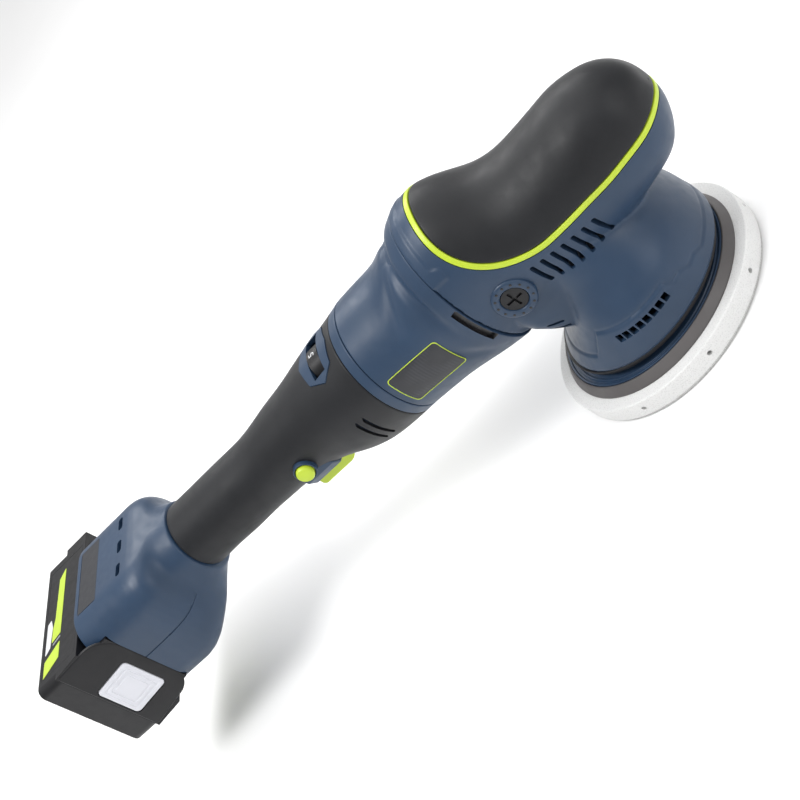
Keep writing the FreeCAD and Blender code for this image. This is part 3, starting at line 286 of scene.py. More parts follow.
# ---------------------------------------------------------------- mesh helpers
def piece(name, verts, faces, look, body, slot, replaced=(), sharp=35.0):
    """Mesh object from points in millimetres that rides on a body."""
    mesh = bpy.data.meshes.new(name)
    mesh.from_pydata([tuple(c * MM for c in v) for v in verts], [], faces)
    work = bmesh.new()
    work.from_mesh(mesh)
    bmesh.ops.remove_doubles(work, verts=work.verts, dist=2e-6)
    bmesh.ops.recalc_face_normals(work, faces=work.faces)
    work.to_mesh(mesh)
    work.free()
    obj = bpy.data.objects.new(name, mesh)
    bpy.context.scene.collection.objects.link(obj)
    settle(obj, look, body, replaced, sharp)
    return obj


def loose(name, solid, look):
    """Piece that other steps still cut or bevel before settle finishes it."""
    return piece(name, *solid, look, None, None)


def settle(obj, look, body, replaced=(), sharp=35.0):
    smooth(obj, sharp)
    obj.data.materials.clear()
    obj.data.materials.append(M[look])
    if body:
        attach(obj, body)
        if replaced:
            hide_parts(*replaced)


def smooth(obj, sharp=35.0):
    obj.data.polygons.foreach_set("use_smooth", [True] * len(obj.data.polygons))
    obj.data.set_sharp_from_angle(angle=math.radians(sharp))


def solid_grid(outer, inner, wrap_u=False, wrap_v=False):
    """Closed shell between two grids of points, with walls along the open edges."""
    nu, nv = outer.shape[:2]
    verts = list(outer.reshape(-1, 3)) + list(inner.reshape(-1, 3))
    half = nu * nv
    faces = []
    for i in range(nu if wrap_u else nu - 1):
        for j in range(nv if wrap_v else nv - 1):
            a, b = i * nv + j, i * nv + (j + 1) % nv
            c, d = ((i + 1) % nu) * nv + (j + 1) % nv, ((i + 1) % nu) * nv + j
            faces.append((a, b, c, d))
            faces.append((d + half, c + half, b + half, a + half))
    if not wrap_u:
        for i in (0, nu - 1):
            for j in range(nv if wrap_v else nv - 1):
                a, b = i * nv + j, i * nv + (j + 1) % nv
                faces.append((a, b, b + half, a + half))
    if not wrap_v:
        for j in (0, nv - 1):
            for i in range(nu if wrap_u else nu - 1):
                a, b = i * nv + j, ((i + 1) % nu) * nv + j
                faces.append((a, b, b + half, a + half))
    return verts, faces


def capped_grid(rings):
    """Closed solid through rings of points, first and last closed by a fan."""
    nu, nv = rings.shape[:2]
    verts = list(rings.reshape(-1, 3)) + [rings[0].mean(0), rings[-1].mean(0)]
    faces = []
    for i in range(nu - 1):
        for j in range(nv):
            faces.append((i * nv + j, i * nv + (j + 1) % nv, (i + 1) * nv + (j + 1) % nv, (i + 1) * nv + j))
    for j in range(nv):
        faces.append((j, nu * nv, (j + 1) % nv))
        faces.append(((nu - 1) * nv + j, (nu - 1) * nv + (j + 1) % nv, nu * nv + 1))
    return verts, faces


def lathe(profile, segments=128, axis="Z", at=(0.0, 0.0, 0.0)):
    """Rings of a closed profile of (radius, height) turned about an axis."""
    turn = around(segments)
    profile = np.array(profile, float)
    grid = np.zeros((segments, len(profile), 3))
    c, s = np.cos(turn)[:, None] * profile[:, 0], np.sin(turn)[:, None] * profile[:, 0]
    h = np.broadcast_to(profile[:, 1], c.shape)
    order = {"Z": (c, s, h), "X": (h, c, s), "Y": (s, h, c)}[axis]
    for k in range(3):
        grid[..., k] = order[k] + at[k]
    verts = list(grid.reshape(-1, 3))
    n = len(profile)
    faces = [(i * n + j, i * n + (j + 1) % n, ((i + 1) % segments) * n + (j + 1) % n,
              ((i + 1) % segments) * n + j) for i in range(segments) for j in range(n)]
    return verts, faces


def fillet(points, radius, steps=4):
    """Round the corners of a closed outline in a plane."""
    points = [np.array(p, float) for p in points]
    count = len(points)
    radii = radius if isinstance(radius, (list, tuple)) else [radius] * count
    out = []
    for i in range(count):
        before, here, after = points[i - 1], points[i], points[(i + 1) % count]
        a, b = before - here, after - here
        la, lb = np.linalg.norm(a), np.linalg.norm(b)
        a, b = a / la, b / lb
        corner = math.acos(max(-1.0, min(1.0, float(a @ b))))
        if radii[i] <= 0 or corner > math.pi - 0.02:
            out.append(tuple(here))
            continue
        reach = min(radii[i] / math.tan(corner / 2), 0.48 * la, 0.48 * lb)
        r = reach * math.tan(corner / 2)
        middle = here + (a + b) / np.linalg.norm(a + b) * (r / math.sin(corner / 2))
        start, stop = here + a * reach - middle, here + b * reach - middle
        sweep = math.pi - corner
        for k in range(steps + 1):
            w = k / steps
            v = (math.sin((1 - w) * sweep) * start + math.sin(w * sweep) * stop) / math.sin(sweep)
            out.append(tuple(middle + v))
    return out


def joined(first, second):
    """Closed solid between two outlines with equally many points."""
    n = len(first)
    faces = [tuple(range(n)), tuple(range(n, 2 * n))]
    faces += [(i, (i + 1) % n, (i + 1) % n + n, i + n) for i in range(n)]
    return list(first) + list(second), faces


def prism(outline, start, stop, axis="Z", place=None):
    """Outline in a plane, raised along the third axis and then moved."""
    def layer(h):
        points = [{"Z": (a, b, h), "Y": (a, h, b), "X": (h, a, b)}[axis] for a, b in outline]
        return points if place is None else [tuple(place @ Vector(p)) for p in points]
    return joined(layer(start), layer(stop))


def rectangle(u0, v0, u1, v1):
    return [(u0, v0), (u1, v0), (u1, v1), (u0, v1)]


def slab(name, outline, start, stop, look, body, axis="Z", bevel=0.4, replaced=(), place=None,
         segments=3):
    """Prism with its edges rounded by a bevel."""
    obj = loose(name, prism(outline, start, stop, axis, place), look)
    if bevel:
        soften(obj, bevel, segments)
        freeze(obj)
    settle(obj, look, body, replaced)
    return obj


def soften(obj, width, segments=2, angle=30.0):
    mod = obj.modifiers.new("soft_edges", "BEVEL")
    mod.width = width * MM
    mod.segments = segments
    mod.limit_method = "ANGLE"
    mod.angle_limit = math.radians(angle)
    mod.harden_normals = False
    return mod


def freeze(obj):
    """Apply the modifiers to the mesh."""
    bpy.context.view_layer.update()
    graph = bpy.context.evaluated_depsgraph_get()
    mesh = bpy.data.meshes.new_from_object(obj.evaluated_get(graph))
    obj.modifiers.clear()
    obj.data = mesh


def carve(obj, cutters, mode="DIFFERENCE"):
    """Cut meshes made in place out of a piece, then remove them."""
    for tool in cutters:
        mod = obj.modifiers.new("carve", "BOOLEAN")
        mod.operation = mode
        mod.solver = "EXACT"
        mod.object = tool
    freeze(obj)
    for tool in cutters:
        bpy.data.objects.remove(tool)


def cutter(verts, faces):
    return loose("cutter", (verts, faces), "seam")


def box_cutter(low, high, place=None):
    return prism_cutter(rectangle(*low[:2], *high[:2]), low[2], high[2], "Z", place)


def prism_cutter(outline, start, stop, axis="Z", place=None):
    return cutter(*prism(outline, start, stop, axis, place))


def rod_cutter(axis, radius, start, stop, at, segments=48):
    """Cylinder along an axis; at gives the other two coordinates."""
    ring = [(at[0] + radius * math.cos(2 * math.pi * i / segments),
             at[1] + radius * math.sin(2 * math.pi * i / segments)) for i in range(segments)]
    return prism_cutter(ring, start, stop, axis)


# ---------------------------------------------------------------- curved skins
class Skin:
    """Smooth skin through ovals (x, low, high, half width), like the CAD lofts."""

    def __init__(self, stations, tip=None):
        rows = np.array([(x, (low + high) / 2, (high - low) / 2, half) for x, low, high, half in stations])
        if tip is not None:
            rows = np.vstack([rows, [tip[0], tip[1], 0.0, 0.0]])
        step = np.linalg.norm(np.diff(rows, axis=0), axis=1)
        self.t = np.concatenate([[0.0], np.cumsum(step)])
        self.rows = rows
        n = len(rows)
        h = np.diff(self.t)
        a = np.zeros((n, n))
        b = np.zeros((n, rows.shape[1]))
        a[0, 0] = a[-1, -1] = 1.0
        for i in range(1, n - 1):
            a[i, i - 1:i + 2] = h[i - 1], 2 * (h[i - 1] + h[i]), h[i]
            b[i] = 6 * ((rows[i + 1] - rows[i]) / h[i] - (rows[i] - rows[i - 1]) / h[i - 1])
        self.second = np.linalg.solve(a, b)
        fine = np.linspace(0.0, self.t[-1], 4000)
        self.fine_t, self.fine_x = fine, np.maximum.accumulate(self.at(fine)[:, 0])

    def at(self, t):
        t = np.clip(np.asarray(t, float), 0.0, self.t[-1])
        i = np.clip(np.searchsorted(self.t, t, side="right") - 1, 0, len(self.t) - 2)
        h = self.t[i + 1] - self.t[i]
        p, q = ((self.t[i + 1] - t) / h)[..., None], ((t - self.t[i]) / h)[..., None]
        m = self.second
        return (p * self.rows[i] + q * self.rows[i + 1]
                + ((p ** 3 - p) * m[i] + (q ** 3 - q) * m[i + 1]) * (h ** 2)[..., None] / 6)

    def when(self, x):
        return np.interp(x, self.fine_x, self.fine_t)

    def point(self, t, angle):
        """Angle 0 is +Y and 90 degrees is the top."""
        row = self.at(t)
        out = np.empty(np.broadcast(row[..., 0], angle).shape + (3,))
        out[..., 0] = row[..., 0]
        out[..., 1] = row[..., 3] * np.cos(angle)
        out[..., 2] = row[..., 1] + row[..., 2] * np.sin(angle)
        return out

    def normal(self, t, angle):
        dt, da = 0.05, 0.01
        along = self.point(np.minimum(t + dt, self.t[-1]), angle) - self.point(np.maximum(t - dt, 0), angle)
        around = self.point(t, angle + da) - self.point(t, angle - da)
        n = np.cross(around, along)
        length = np.linalg.norm(n, axis=-1, keepdims=True)
        flat = length[..., 0] < 1e-9
        n = n / np.maximum(length, 1e-12)
        n[flat] = (1.0, 0.0, 0.0)
        return n

    def offset(self, t, angle, out):
        return self.point(t, angle) + self.normal(t, angle) * np.asarray(out)[..., None]

    def angle_at(self, t, z):
        """Angle between 0 and 90 degrees, or below 0, at which the skin has a height."""
        row = self.at(t)
        return np.arcsin(np.clip((z - row[..., 1]) / np.maximum(row[..., 2], 1e-6), -1.0, 1.0))


def rounding(distance, radius):
    """How far an edge with this radius falls away at a distance from it."""
    d = np.clip(distance, 0.0, radius)
    return radius - np.sqrt(np.maximum(radius ** 2 - (radius - d) ** 2, 0.0))


def step_up(distance, width):
    """Smooth step from 0 to 1 where the distance passes 0."""
    return 1.0 / (1.0 + np.exp(-distance / width))


def around(count):
    """Evenly spaced angles of a full turn."""
    return np.linspace(0.0, 2 * math.pi, count, endpoint=False)


def dip(value, centre, width):
    """Smooth bell curve of height one."""
    return np.exp(-((np.asarray(value) - centre) / width) ** 2)


HEAD = Skin([(x, AXIS + low, AXIS + high, half) for x, low, high, half in (
    (-50, -49, 59, 44), (-34, -45.8, 61.7, 42), (-18, -45, 55, 41.5), (-2, -44.2, 44.8, 41),
    (14, -43.1, 40.6, 41.1), (30, -41.1, 40.9, 40.6), (46, -38, 42.5, 39), (62, -33.9, 43.8, 37.4),
    (76, -30.8, 42.7, 33.6), (87, -26.5, 39.5, 29.8), (95.5, -18.5, 33.8, 23.6),
    (101.5, -8.5, 27, 14.8), (104.6, 1, 19, 6))], tip=(105.1, AXIS + 10.0))
HANDLE = Skin([(-320 + 19 * i, AXIS - GRIP_R, AXIS + GRIP_R, GRIP_R) for i in range(5)] + [
    (x, AXIS - low, AXIS + high, half) for x, low, high, half in (
        (-228, 24.4, 25.6, 24.8), (-212, 25.5, 28.2, 26.6), (-192, 29, 30.8, 29),
        (-176, 37, 33.6, 32.6), (-160, 41.5, 36.2, 36), (-142, 42.1, 38.2, 39), (-122, 41.5, 41.5, 41.5))])
MOTOR = Skin([(x, AXIS + low, AXIS + high, half) for x, low, high, half in (
    (-121.6, -41.5, 41.5, 41.5), (-104, -42.2, 42.2, 42.2), (-88, -43.3, 43.3, 43.3),
    (-74, -46.1, 48.5, 44.1), (-62, -48.5, 54.5, 44.8), (-50.4, -50, 59.5, 45))])


# ---------------------------------------------------------------- head body
SHROUD = np.array([(28.0, -55, 65, 60.5), (38, -46, 65, 60.5), (48, -37, 64, 60), (58, -30, 61.5, 57),
                   (68, -27.5, 59, 50), (78, -26.5, 56.5, 45), (88, -26, 50, 42), (98, -26, 42, 38.5)])


def shroud_at(z):
    """Rear, front and half width of the bell at heights."""
    return [np.interp(z, SHROUD[:, 0], SHROUD[:, k]) for k in (1, 2, 3)]


def shroud_rings(inset, low, high, count, segments=160):
    z = np.linspace(low, high, count)
    rear, front, half = shroud_at(z)
    kernel = np.array([1, 2, 3, 2, 1]) / 9.0
    for row in (rear, front, half):
        for _ in range(5):
            row[2:-2] = np.convolve(row, kernel, mode="same")[2:-2]
    a = around(segments)
    rings = np.zeros((count, segments, 3))
    rings[..., 0] = ((front + rear) / 2)[:, None] + ((front - rear) / 2 - inset)[:, None] * np.cos(a)
    rings[..., 1] = (half - inset)[:, None] * np.sin(a)
    rings[..., 2] = z[:, None]
    return rings


def head_rings(inset, stop, segments=180):
    """Rings of the barrel from its rear end to an X, set in from the skin."""
    t = np.linspace(HEAD.when(HEAD_REAR), HEAD.when(stop), 110)
    row = HEAD.at(t)
    a = around(segments)
    rings = np.zeros((len(t), segments, 3))
    rings[..., 0] = row[:, 0][:, None]
    rings[..., 1] = (row[:, 3] - inset)[:, None] * np.cos(a)
    rings[..., 2] = row[:, 1][:, None] + (row[:, 2] - inset)[:, None] * np.sin(a)
    rings[0, :, 0] -= 1.0 if inset else 0.0
    return rings


def band_outline(offset):
    """Everything above the line that runs offset above the band's lower edge, seen from the side."""
    far, above = 200.0, 260.0
    reach = RISE - offset
    turn = np.radians(np.arange(0, 91, 3))
    arc = [(ARC_X - reach * math.cos(a), ARC_Z - reach * math.sin(a)) for a in turn]
    return [(ARC_X - reach, above)] + arc + [(far, LEVEL + offset), (far, above)]


# Rows of the block behind the bell: height, rear X and half width.
NECK = [(52.5, -27.0, 29.0), (54.5, -31.5, 32.5), (58.0, -34.5, 34.0), (64.0, -39.0, 35.3),
        (72.0, -44.0, 36.4), (82.0, -47.0, 37.2), (100.0, -48.5, 37.2)]


def rough_head():
    """Barrel, bell and the block behind the bell in one even mesh."""
    body = cutter(*capped_grid(head_rings(0.0, 105.09)))
    carve(body, [cutter(*capped_grid(shroud_rings(0.0, 28.0, 98.0, 60)))], "UNION")
    rings = []
    for z, rear, half in NECK:
        ring = fillet(rectangle(rear, -half, 10.0, half), [12.0, 4.0, 4.0, 12.0], 8)
        rings.append([(x, y, z) for x, y in ring])
    carve(body, [cutter(*capped_grid(np.array(rings)))], "UNION")
    mod = body.modifiers.new("remesh", "REMESH")
    mod.mode = "VOXEL"
    mod.voxel_size = 0.95 * MM
    freeze(body)
    return body


def vertex_rows(mesh, name="co"):
    rows = np.zeros(len(mesh.vertices) * 3)
    mesh.vertices.foreach_get(name, rows)
    return rows.reshape(-1, 3)


def blend_crease(body):
    """Smooth the inner corner where the bell meets the barrel, and calm the whole mesh a little."""
    size, reach = 45.0, 4.0
    x, y, z = (vertex_rows(body.data) / MM).T
    rear, front, half = shroud_at(z)
    bell = np.hypot((x - (front + rear) / 2) / ((front - rear) / 2), y / half)
    row = HEAD.at(HEAD.when(x))
    barrel = np.hypot(y / np.maximum(row[:, 3], 1.0), (z - row[:, 1]) / np.maximum(row[:, 2], 1.0))
    crease = np.exp(-((bell - 1.0) * size / reach) ** 2 - ((barrel - 1.0) * size / reach) ** 2) * (z < 99)
    group = body.vertex_groups.new(name="crease")
    for i in np.where(crease > 0.02)[0]:
        group.add([int(i)], float(min(1.0, crease[i] * 1.6)), "REPLACE")
    local = body.modifiers.new("blend", "SMOOTH")
    local.iterations = 22
    local.factor = 0.5
    local.vertex_group = "crease"
    whole = body.modifiers.new("calm", "SMOOTH")
    whole.iterations = 2
    freeze(body)


# Height of the raised skirt's upper edge against the turn from the nose, in degrees.
SKIRT_TURN = [0, 30, 37, 44, 50, 56, 60, 100, 112, 125, 180]
SKIRT_EDGE = [37, 37, 41, 41, 46, 46, 51.5, 52, 52, 38, 36]


def emboss_head(body):
    """Raise the skirt with its groove, and the collar strip behind the band."""
    co, normal = vertex_rows(body.data), vertex_rows(body.data, "normal")
    x, y, z = (co / MM).T
    line = np.interp(np.degrees(np.arctan2(np.abs(y), x - 5.0)), SKIRT_TURN, SKIRT_EDGE)
    raised = step_up(line - z, 0.28) * step_up(z - 29.2, 0.3)
    groove = np.exp(-((z - line - 1.1) / 0.7) ** 2)
    upright = np.where(np.hypot(normal[:, 0], normal[:, 1]) > 0.35, 1.0, 0.0) * (z < 58.0)
    across = np.degrees(np.arctan2(np.abs(y), z - 115.0))
    edge = -43.0 + 4.5 * step_up(across - 48.0, 0.8)
    strip = step_up(edge - x, 0.3) * step_up(58.0 - across, 0.6)
    lift = (0.55 * raised - 0.35 * groove) * upright + 0.9 * strip
    co += normal * lift[:, None] * MM
    body.data.vertices.foreach_set("co", co.ravel())
    body.data.update()


def head_cutters():
    """Openings first and hollows last, the order in which the exact solver keeps the mesh."""
    cutters = [rod_cutter("Y", 8.1, -60.0, 60.0, PLUG)]
    for i in range(7):
        x, top = -5.0 + 7.2 * i, AXIS - 0.86 * i
        outline = fillet(rectangle(x - 1.5, top - 17.5, x + 1.5, top), 1.1)
        cutters += [prism_cutter(outline, -80.0, -30.0, "Y"), prism_cutter(outline, 30.0, 80.0, "Y")]
    for i in range(8):
        for start in (-93.0, 60.0):
            spin = Matrix.Rotation(math.radians(start + 4.7 * i), 4, "Z")
            outline = fillet(rectangle(-2.0, 43.5, 2.0, 48.5), 0.5, 2)
            cutters.append(prism_cutter(outline, 46.0, 72.0, "X", spin))
    for side in (-1, 1):
        for z in (58.5, 64.5):
            outline = fillet([(-33.5, z + 4.2), (-24.5, z - 0.6), (-24.5, z + 1.4), (-33.5, z + 6.2)], 0.8)
            cutters.append(prism_cutter(outline, 31.5 * side, 46.0 * side, "Y"))
    nose = fillet([(-4.0, 82.0), (4.0, 82.0), (3.0, 90.0), (-3.0, 90.0)], 1.2)
    return cutters + [prism_cutter(nose, 55.0, 80.0, "X"),
                      cutter(*capped_grid(head_rings(5.4, 93.0, 96))),
                      cutter(*capped_grid(shroud_rings(2.6, 26.5, 92.0, 40, 96))),
                      prism_cutter(band_outline(-0.25), -80.0, 80.0, "Y")]


def head_body():
    body = rough_head()
    blend_crease(body)
    emboss_head(body)
    carve(body, head_cutters())
    settle(body, "blue", "housing", ["head_shell"], 40.0)
    body.name = "head_body"
    # Black ring under the skirt's lower edge: a dark sheet set where the gap under the skirt falls in shadow,
    # so it is painted shade.
    ring = fillet([(56.6, 25.0), (59.4, 25.0), (60.0, 28.6), (57.2, 28.6)], 0.5)
    verts, faces = lathe(ring, 200, "Z", (SHROUD_X, 0.0, 0.0))
    piece("skirt_shadow_ring", verts, faces, "black", "housing", "black_plastic")


# ---------------------------------------------------------------- top grip and band
def edge_distance(x, z, offset):
    """Distance, seen from the side, above the line that runs offset above the band's lower edge."""
    reach = RISE - offset
    arc = reach - np.hypot(x - ARC_X, z - ARC_Z)
    return np.where(x > ARC_X, z - (LEVEL + offset), np.where(z <= ARC_Z, arc, x - (ARC_X - reach)))


def top_grip():
    offset = BAND + 0.15
    reach = RISE - offset
    turn = np.radians(90.0 * (np.linspace(0.0, 1.0, 46) ** 1.4))
    behind = HEAD.when(ARC_X - reach * np.cos(turn))
    ahead = np.linspace(HEAD.when(ARC_X), HEAD.t[-1], 130)[1:]
    t = np.concatenate([behind, ahead])
    x = HEAD.at(t)[:, 0]
    curved = ARC_Z - np.sqrt(np.maximum(reach ** 2 - (x - ARC_X) ** 2, 0.0))
    line = np.where(x > ARC_X, LEVEL + offset, curved)
    start = HEAD.angle_at(t, line)
    near = np.array([0, 0.1, 0.22, 0.4, 0.65, 1.0, 1.45, 2.1, 3.0])
    count = 96
    grid_angle = np.zeros((len(t), 2 * len(near) + count))
    for i in range(len(t)):
        sweep = np.linspace(start[i], math.pi - start[i], 400)
        path = HEAD.point(np.full(400, t[i]), sweep)
        length = np.concatenate([[0.0], np.cumsum(np.linalg.norm(np.diff(path, axis=0), axis=1))])
        total = length[-1]
        edge = near * min(1.0, total / 12.0)
        middle = np.linspace(edge[-1], total - edge[-1], count + 2)[1:-1]
        marks = np.concatenate([edge, middle, (total - edge)[::-1]])
        grid_angle[i] = np.interp(marks, length, sweep)
    tt = np.repeat(t[:, None], grid_angle.shape[1], axis=1)
    p = HEAD.point(tt, grid_angle)
    sink = rounding(edge_distance(p[..., 0], p[..., 2], offset), 1.5)
    outer = HEAD.offset(tt, grid_angle, -sink)
    inner = HEAD.offset(tt, grid_angle, np.full(sink.shape, -DEEP))
    verts, faces = solid_grid(outer, inner)
    piece("top_grip", verts, faces, "soft", "housing", "black_soft", ["head_grip"], 50.0)


def band_path(offset, samples=(26, 44, 90)):
    """Skin parameters along the closed line that runs offset above the band's lower edge."""
    reach = RISE - offset
    x_rear = ARC_X - reach
    t_rear = float(HEAD.when(x_rear))
    low = float(HEAD.angle_at(np.array(t_rear), ARC_Z))
    ts = [np.full(samples[0], t_rear)]
    angles = [np.linspace(math.pi / 2, low, samples[0])]
    turn = np.linspace(0.0, math.pi / 2, samples[1])[1:]
    t = HEAD.when(ARC_X - reach * np.cos(turn))
    ts.append(t)
    angles.append(HEAD.angle_at(t, ARC_Z - reach * np.sin(turn)))
    row = HEAD.at(HEAD.fine_t)
    under = row[:, 1] - row[:, 2] - (LEVEL + offset)
    front = np.where(row[:, 0] > 60.0)[0]
    cross = front[np.argmax(under[front] > 0.0)]
    w = (under[cross - 1]) / (under[cross - 1] - under[cross])
    t_tip = HEAD.fine_t[cross - 1] + w * (HEAD.fine_t[cross] - HEAD.fine_t[cross - 1])
    w = 1.0 - np.linspace(0.0, 1.0, samples[2])[1:]
    t = t_tip - (t_tip - float(HEAD.when(ARC_X))) * w ** 2
    ts.append(t)
    angle = HEAD.angle_at(t, np.full(t.shape, LEVEL + offset))
    angle[-1] = -math.pi / 2
    angles.append(angle)
    t, angle = np.concatenate(ts), np.concatenate(angles)
    mirror = math.pi - angle
    return np.concatenate([t, t[-2:0:-1]]), np.concatenate([angle, mirror[-2:0:-1]])


def trim_band():
    gap = 0.12
    top = BAND - gap
    outer, inner = [], []
    for level in (gap, 0.2, 0.35, 0.6, 1.2, 1.9, 2.6, 3.0, 3.25, 3.4, top):
        t, angle = band_path(level)
        sink = rounding(np.array(min(level - gap, top - level)), 0.55) * np.ones(t.shape)
        outer.append(HEAD.offset(t, angle, 0.1 - sink))
        inner.append(HEAD.offset(t, angle, np.full(t.shape, -DEEP)))
    verts, faces = solid_grid(np.array(outer), np.array(inner), wrap_v=True)
    piece("trim_band", verts, faces, "lime", "housing", "lime_plastic", ["lime_band"], 50.0)


# ---------------------------------------------------------------- motor housing
def from_top(angle):
    """Degrees between an angle of a skin and its top line."""
    return np.abs((np.degrees(angle) - 90.0 + 180.0) % 360.0 - 180.0)


def motor_cover():
    """Cover with three soft valleys behind the head and a recessed slot on its right side."""
    marks = [-121.6, -121.5, -121.3, -121.0, -120.6] + list(np.linspace(-120.0, -56.2, 90))
    marks += [-55.6, -55.45, -55.35, -55.0, -54.0, -53.0, -52.0, -51.2, -50.85, -50.75, -50.6, -50.5, -50.4]
    x = np.array(marks)
    angle = around(360)
    xx, aa = np.meshgrid(x, angle, indexing="ij")
    tt = MOTOR.when(xx)
    p = MOTOR.point(tt, aa)
    side = from_top(aa)
    sink = rounding(xx + 121.6, 0.7) + rounding(-50.4 - xx, 0.7)
    valley = -65.5 + 2.5 * (side / 90.0) ** 2
    sink += step_up(82.0 - side, 7.0) * 2.5 * dip(xx, valley, 3.6)
    branch = -64.0 - 20.0 * np.clip(side / 48.0, 0.0, 2.0)
    sink += 1.5 * dip(xx, branch, 5.0) * np.clip(side / 12.0, 0.0, 1.0) * step_up(58.0 - side, 5.0)
    lower = -62.0 - 16.0 * np.clip((130.0 - side) / 40.0, 0.0, 1.0)
    sink += 1.0 * dip(xx, lower, 5.0) * dip(side, 112.0, 16.0)
    slot = (xx > -55.4) & (xx < -50.8) & (p[..., 2] > 92.0) & (p[..., 2] < 123.0) & (p[..., 1] < 0)
    sink = np.where(slot, 2.4, sink)
    outer = MOTOR.offset(tt, aa, -sink)
    inner = MOTOR.offset(tt, aa, np.full(sink.shape, -2.7))
    verts, faces = solid_grid(outer, inner, wrap_v=True)
    cover = piece("motor_cover", verts, faces, "blue", "housing", "blue_plastic", ["motor_housing"], 40.0)
    cover.data.materials.append(M["dark"])
    for face in cover.data.polygons:
        fx, fy, fz = face.center / MM
        if -55.5 < fx < -50.7 and fy < -30.0 and 91.5 < fz < 123.5 and math.hypot(fy, fz - AXIS) < 47.0:
            face.material_index = 1 if math.hypot(fy, fz - AXIS - 3.0) > 38.0 else 0


# ---------------------------------------------------------------- handle
HEXAGON = [(-163.0, 0.0), (-159.5, -14.0), (-148.5, -19.5), (-137.5, -14.0), (-134.5, 0.0),
           (-137.5, 14.0), (-148.5, 19.5), (-159.5, 14.0)]
LEANING = Matrix.Translation((0.0, 0.0, AXIS)) @ Matrix.Rotation(LEAN, 4, "X")


def handle_cutters(grow=0.0):
    """The speed dial's pocket, the lock button's hole and the two slots beside the trigger."""
    hexagon = [(-149.0 + (x + 149.0) * (1 + grow / 14.0), y * (1 + grow / 17.0)) for x, y in HEXAGON]
    cutters = [prism_cutter(fillet(hexagon, 1.2), 15.0, 60.0, "Z", LEANING),
               rod_cutter("Y", 7.7, -45.0, 0.0, LOCK)]
    for x in (-157.0, -150.5):
        outline = fillet([(x, AXIS - 26), (x + 2.6, AXIS - 23), (x + 2.6, AXIS + 3), (x, AXIS - 1)], 0.6)
        cutters.append(prism_cutter(outline, -60.0, -20.0, "Y"))
    return cutters


def tube(skin, start, stop, count, out, depth, edge=1.0, extra=None, segments=240):
    """Stretch of a skin as a hollow shell, out from it by one distance and in by another."""
    near = np.array([0.0, 0.1, 0.25, 0.5, 0.8, 1.2])
    x = np.concatenate([start + near, np.linspace(start + 1.8, stop - 1.8, count), (stop - near)[::-1]])
    angle = around(segments)
    xx, aa = np.meshgrid(x, angle, indexing="ij")
    tt = skin.when(xx)
    sink = rounding(xx - start, edge) + rounding(stop - xx, edge) - out
    if extra is not None:
        sink = sink + extra(xx, aa)
    outer = skin.offset(tt, aa, -sink)
    inner = skin.offset(tt, aa, np.full(sink.shape, -depth))
    return solid_grid(outer, inner, wrap_v=True)


def handle_sleeve():
    def relief(xx, aa):
        """Shallow finger waves under the bare handle."""
        under = step_up(from_top(aa) - 140.0, 8.0)
        wave = 0.5 - 0.5 * np.cos((xx + 316.0) / 39.0 * 2 * math.pi)
        return 0.45 * under * wave * (xx < -238.0)
    sleeve = loose("handle_sleeve", tube(HANDLE, -315.8, -130.2, 180, 0.0, 2.1, 1.0, relief), "soft")
    slot = box_cutter((-231.4, -11.4, 49.0), (-181.6, 11.4, AXIS - 15.0))
    carve(sleeve, handle_cutters(0.25) + [slot])
    settle(sleeve, "soft", "housing", ["overmould_upper", "overmould_lower"], 40.0)

    core = loose("handle_core", tube(HANDLE, -316.5, -122.4, 60, -2.25, 4.6, 0.2), "blue")
    slot = box_cutter((-231.0, -11.2, 49.0), (-182.0, 11.2, AXIS - 15.0))
    carve(core, handle_cutters(-0.2) + [slot])
    settle(core, "blue", "housing", ["handle_shell_upper"], 40.0)

    verts, faces = tube(HANDLE, -129.8, -122.2, 12, 0.0, 2.4, 0.6)
    piece("handle_ring", verts, faces, "blue", "housing", "blue_plastic", (), 40.0)


SEAM = 97.0             # height of the foot's parting line
FOOT_REAR, FOOT_FRONT = -406.0, -316.0
# X, half width, low and high from the axis, radius of the lower and upper corners.
FOOT = [(-316.0, 25.6, -26.5, 25.2, 25.0, 24.6), (-322.0, 27.4, -29.0, 26.2, 25.0, 24.6),
        (-328.0, 29.6, -33.0, 27.6, 24.5, 24.4), (-331.0, 31.5, -35.0, 28.8, 23.5, 24.0),
        (-336.0, 40.0, -38.6, 30.4, 21.0, 22.5), (-341.0, 44.0, -41.0, 31.8, 19.0, 22.0),
        (-347.0, 46.2, -44.0, 32.7, 17.6, 22.5), (-353.0, 47.2, -46.8, 33.0, 16.8, 23.0),
        (-361.0, 47.8, -49.6, 33.0, 16.2, 24.0), (-369.0, 48.0, -51.0, 33.0, 16.0, 24.0),
        (-406.0, 48.0, -51.0, 33.0, 16.0, 24.0)]


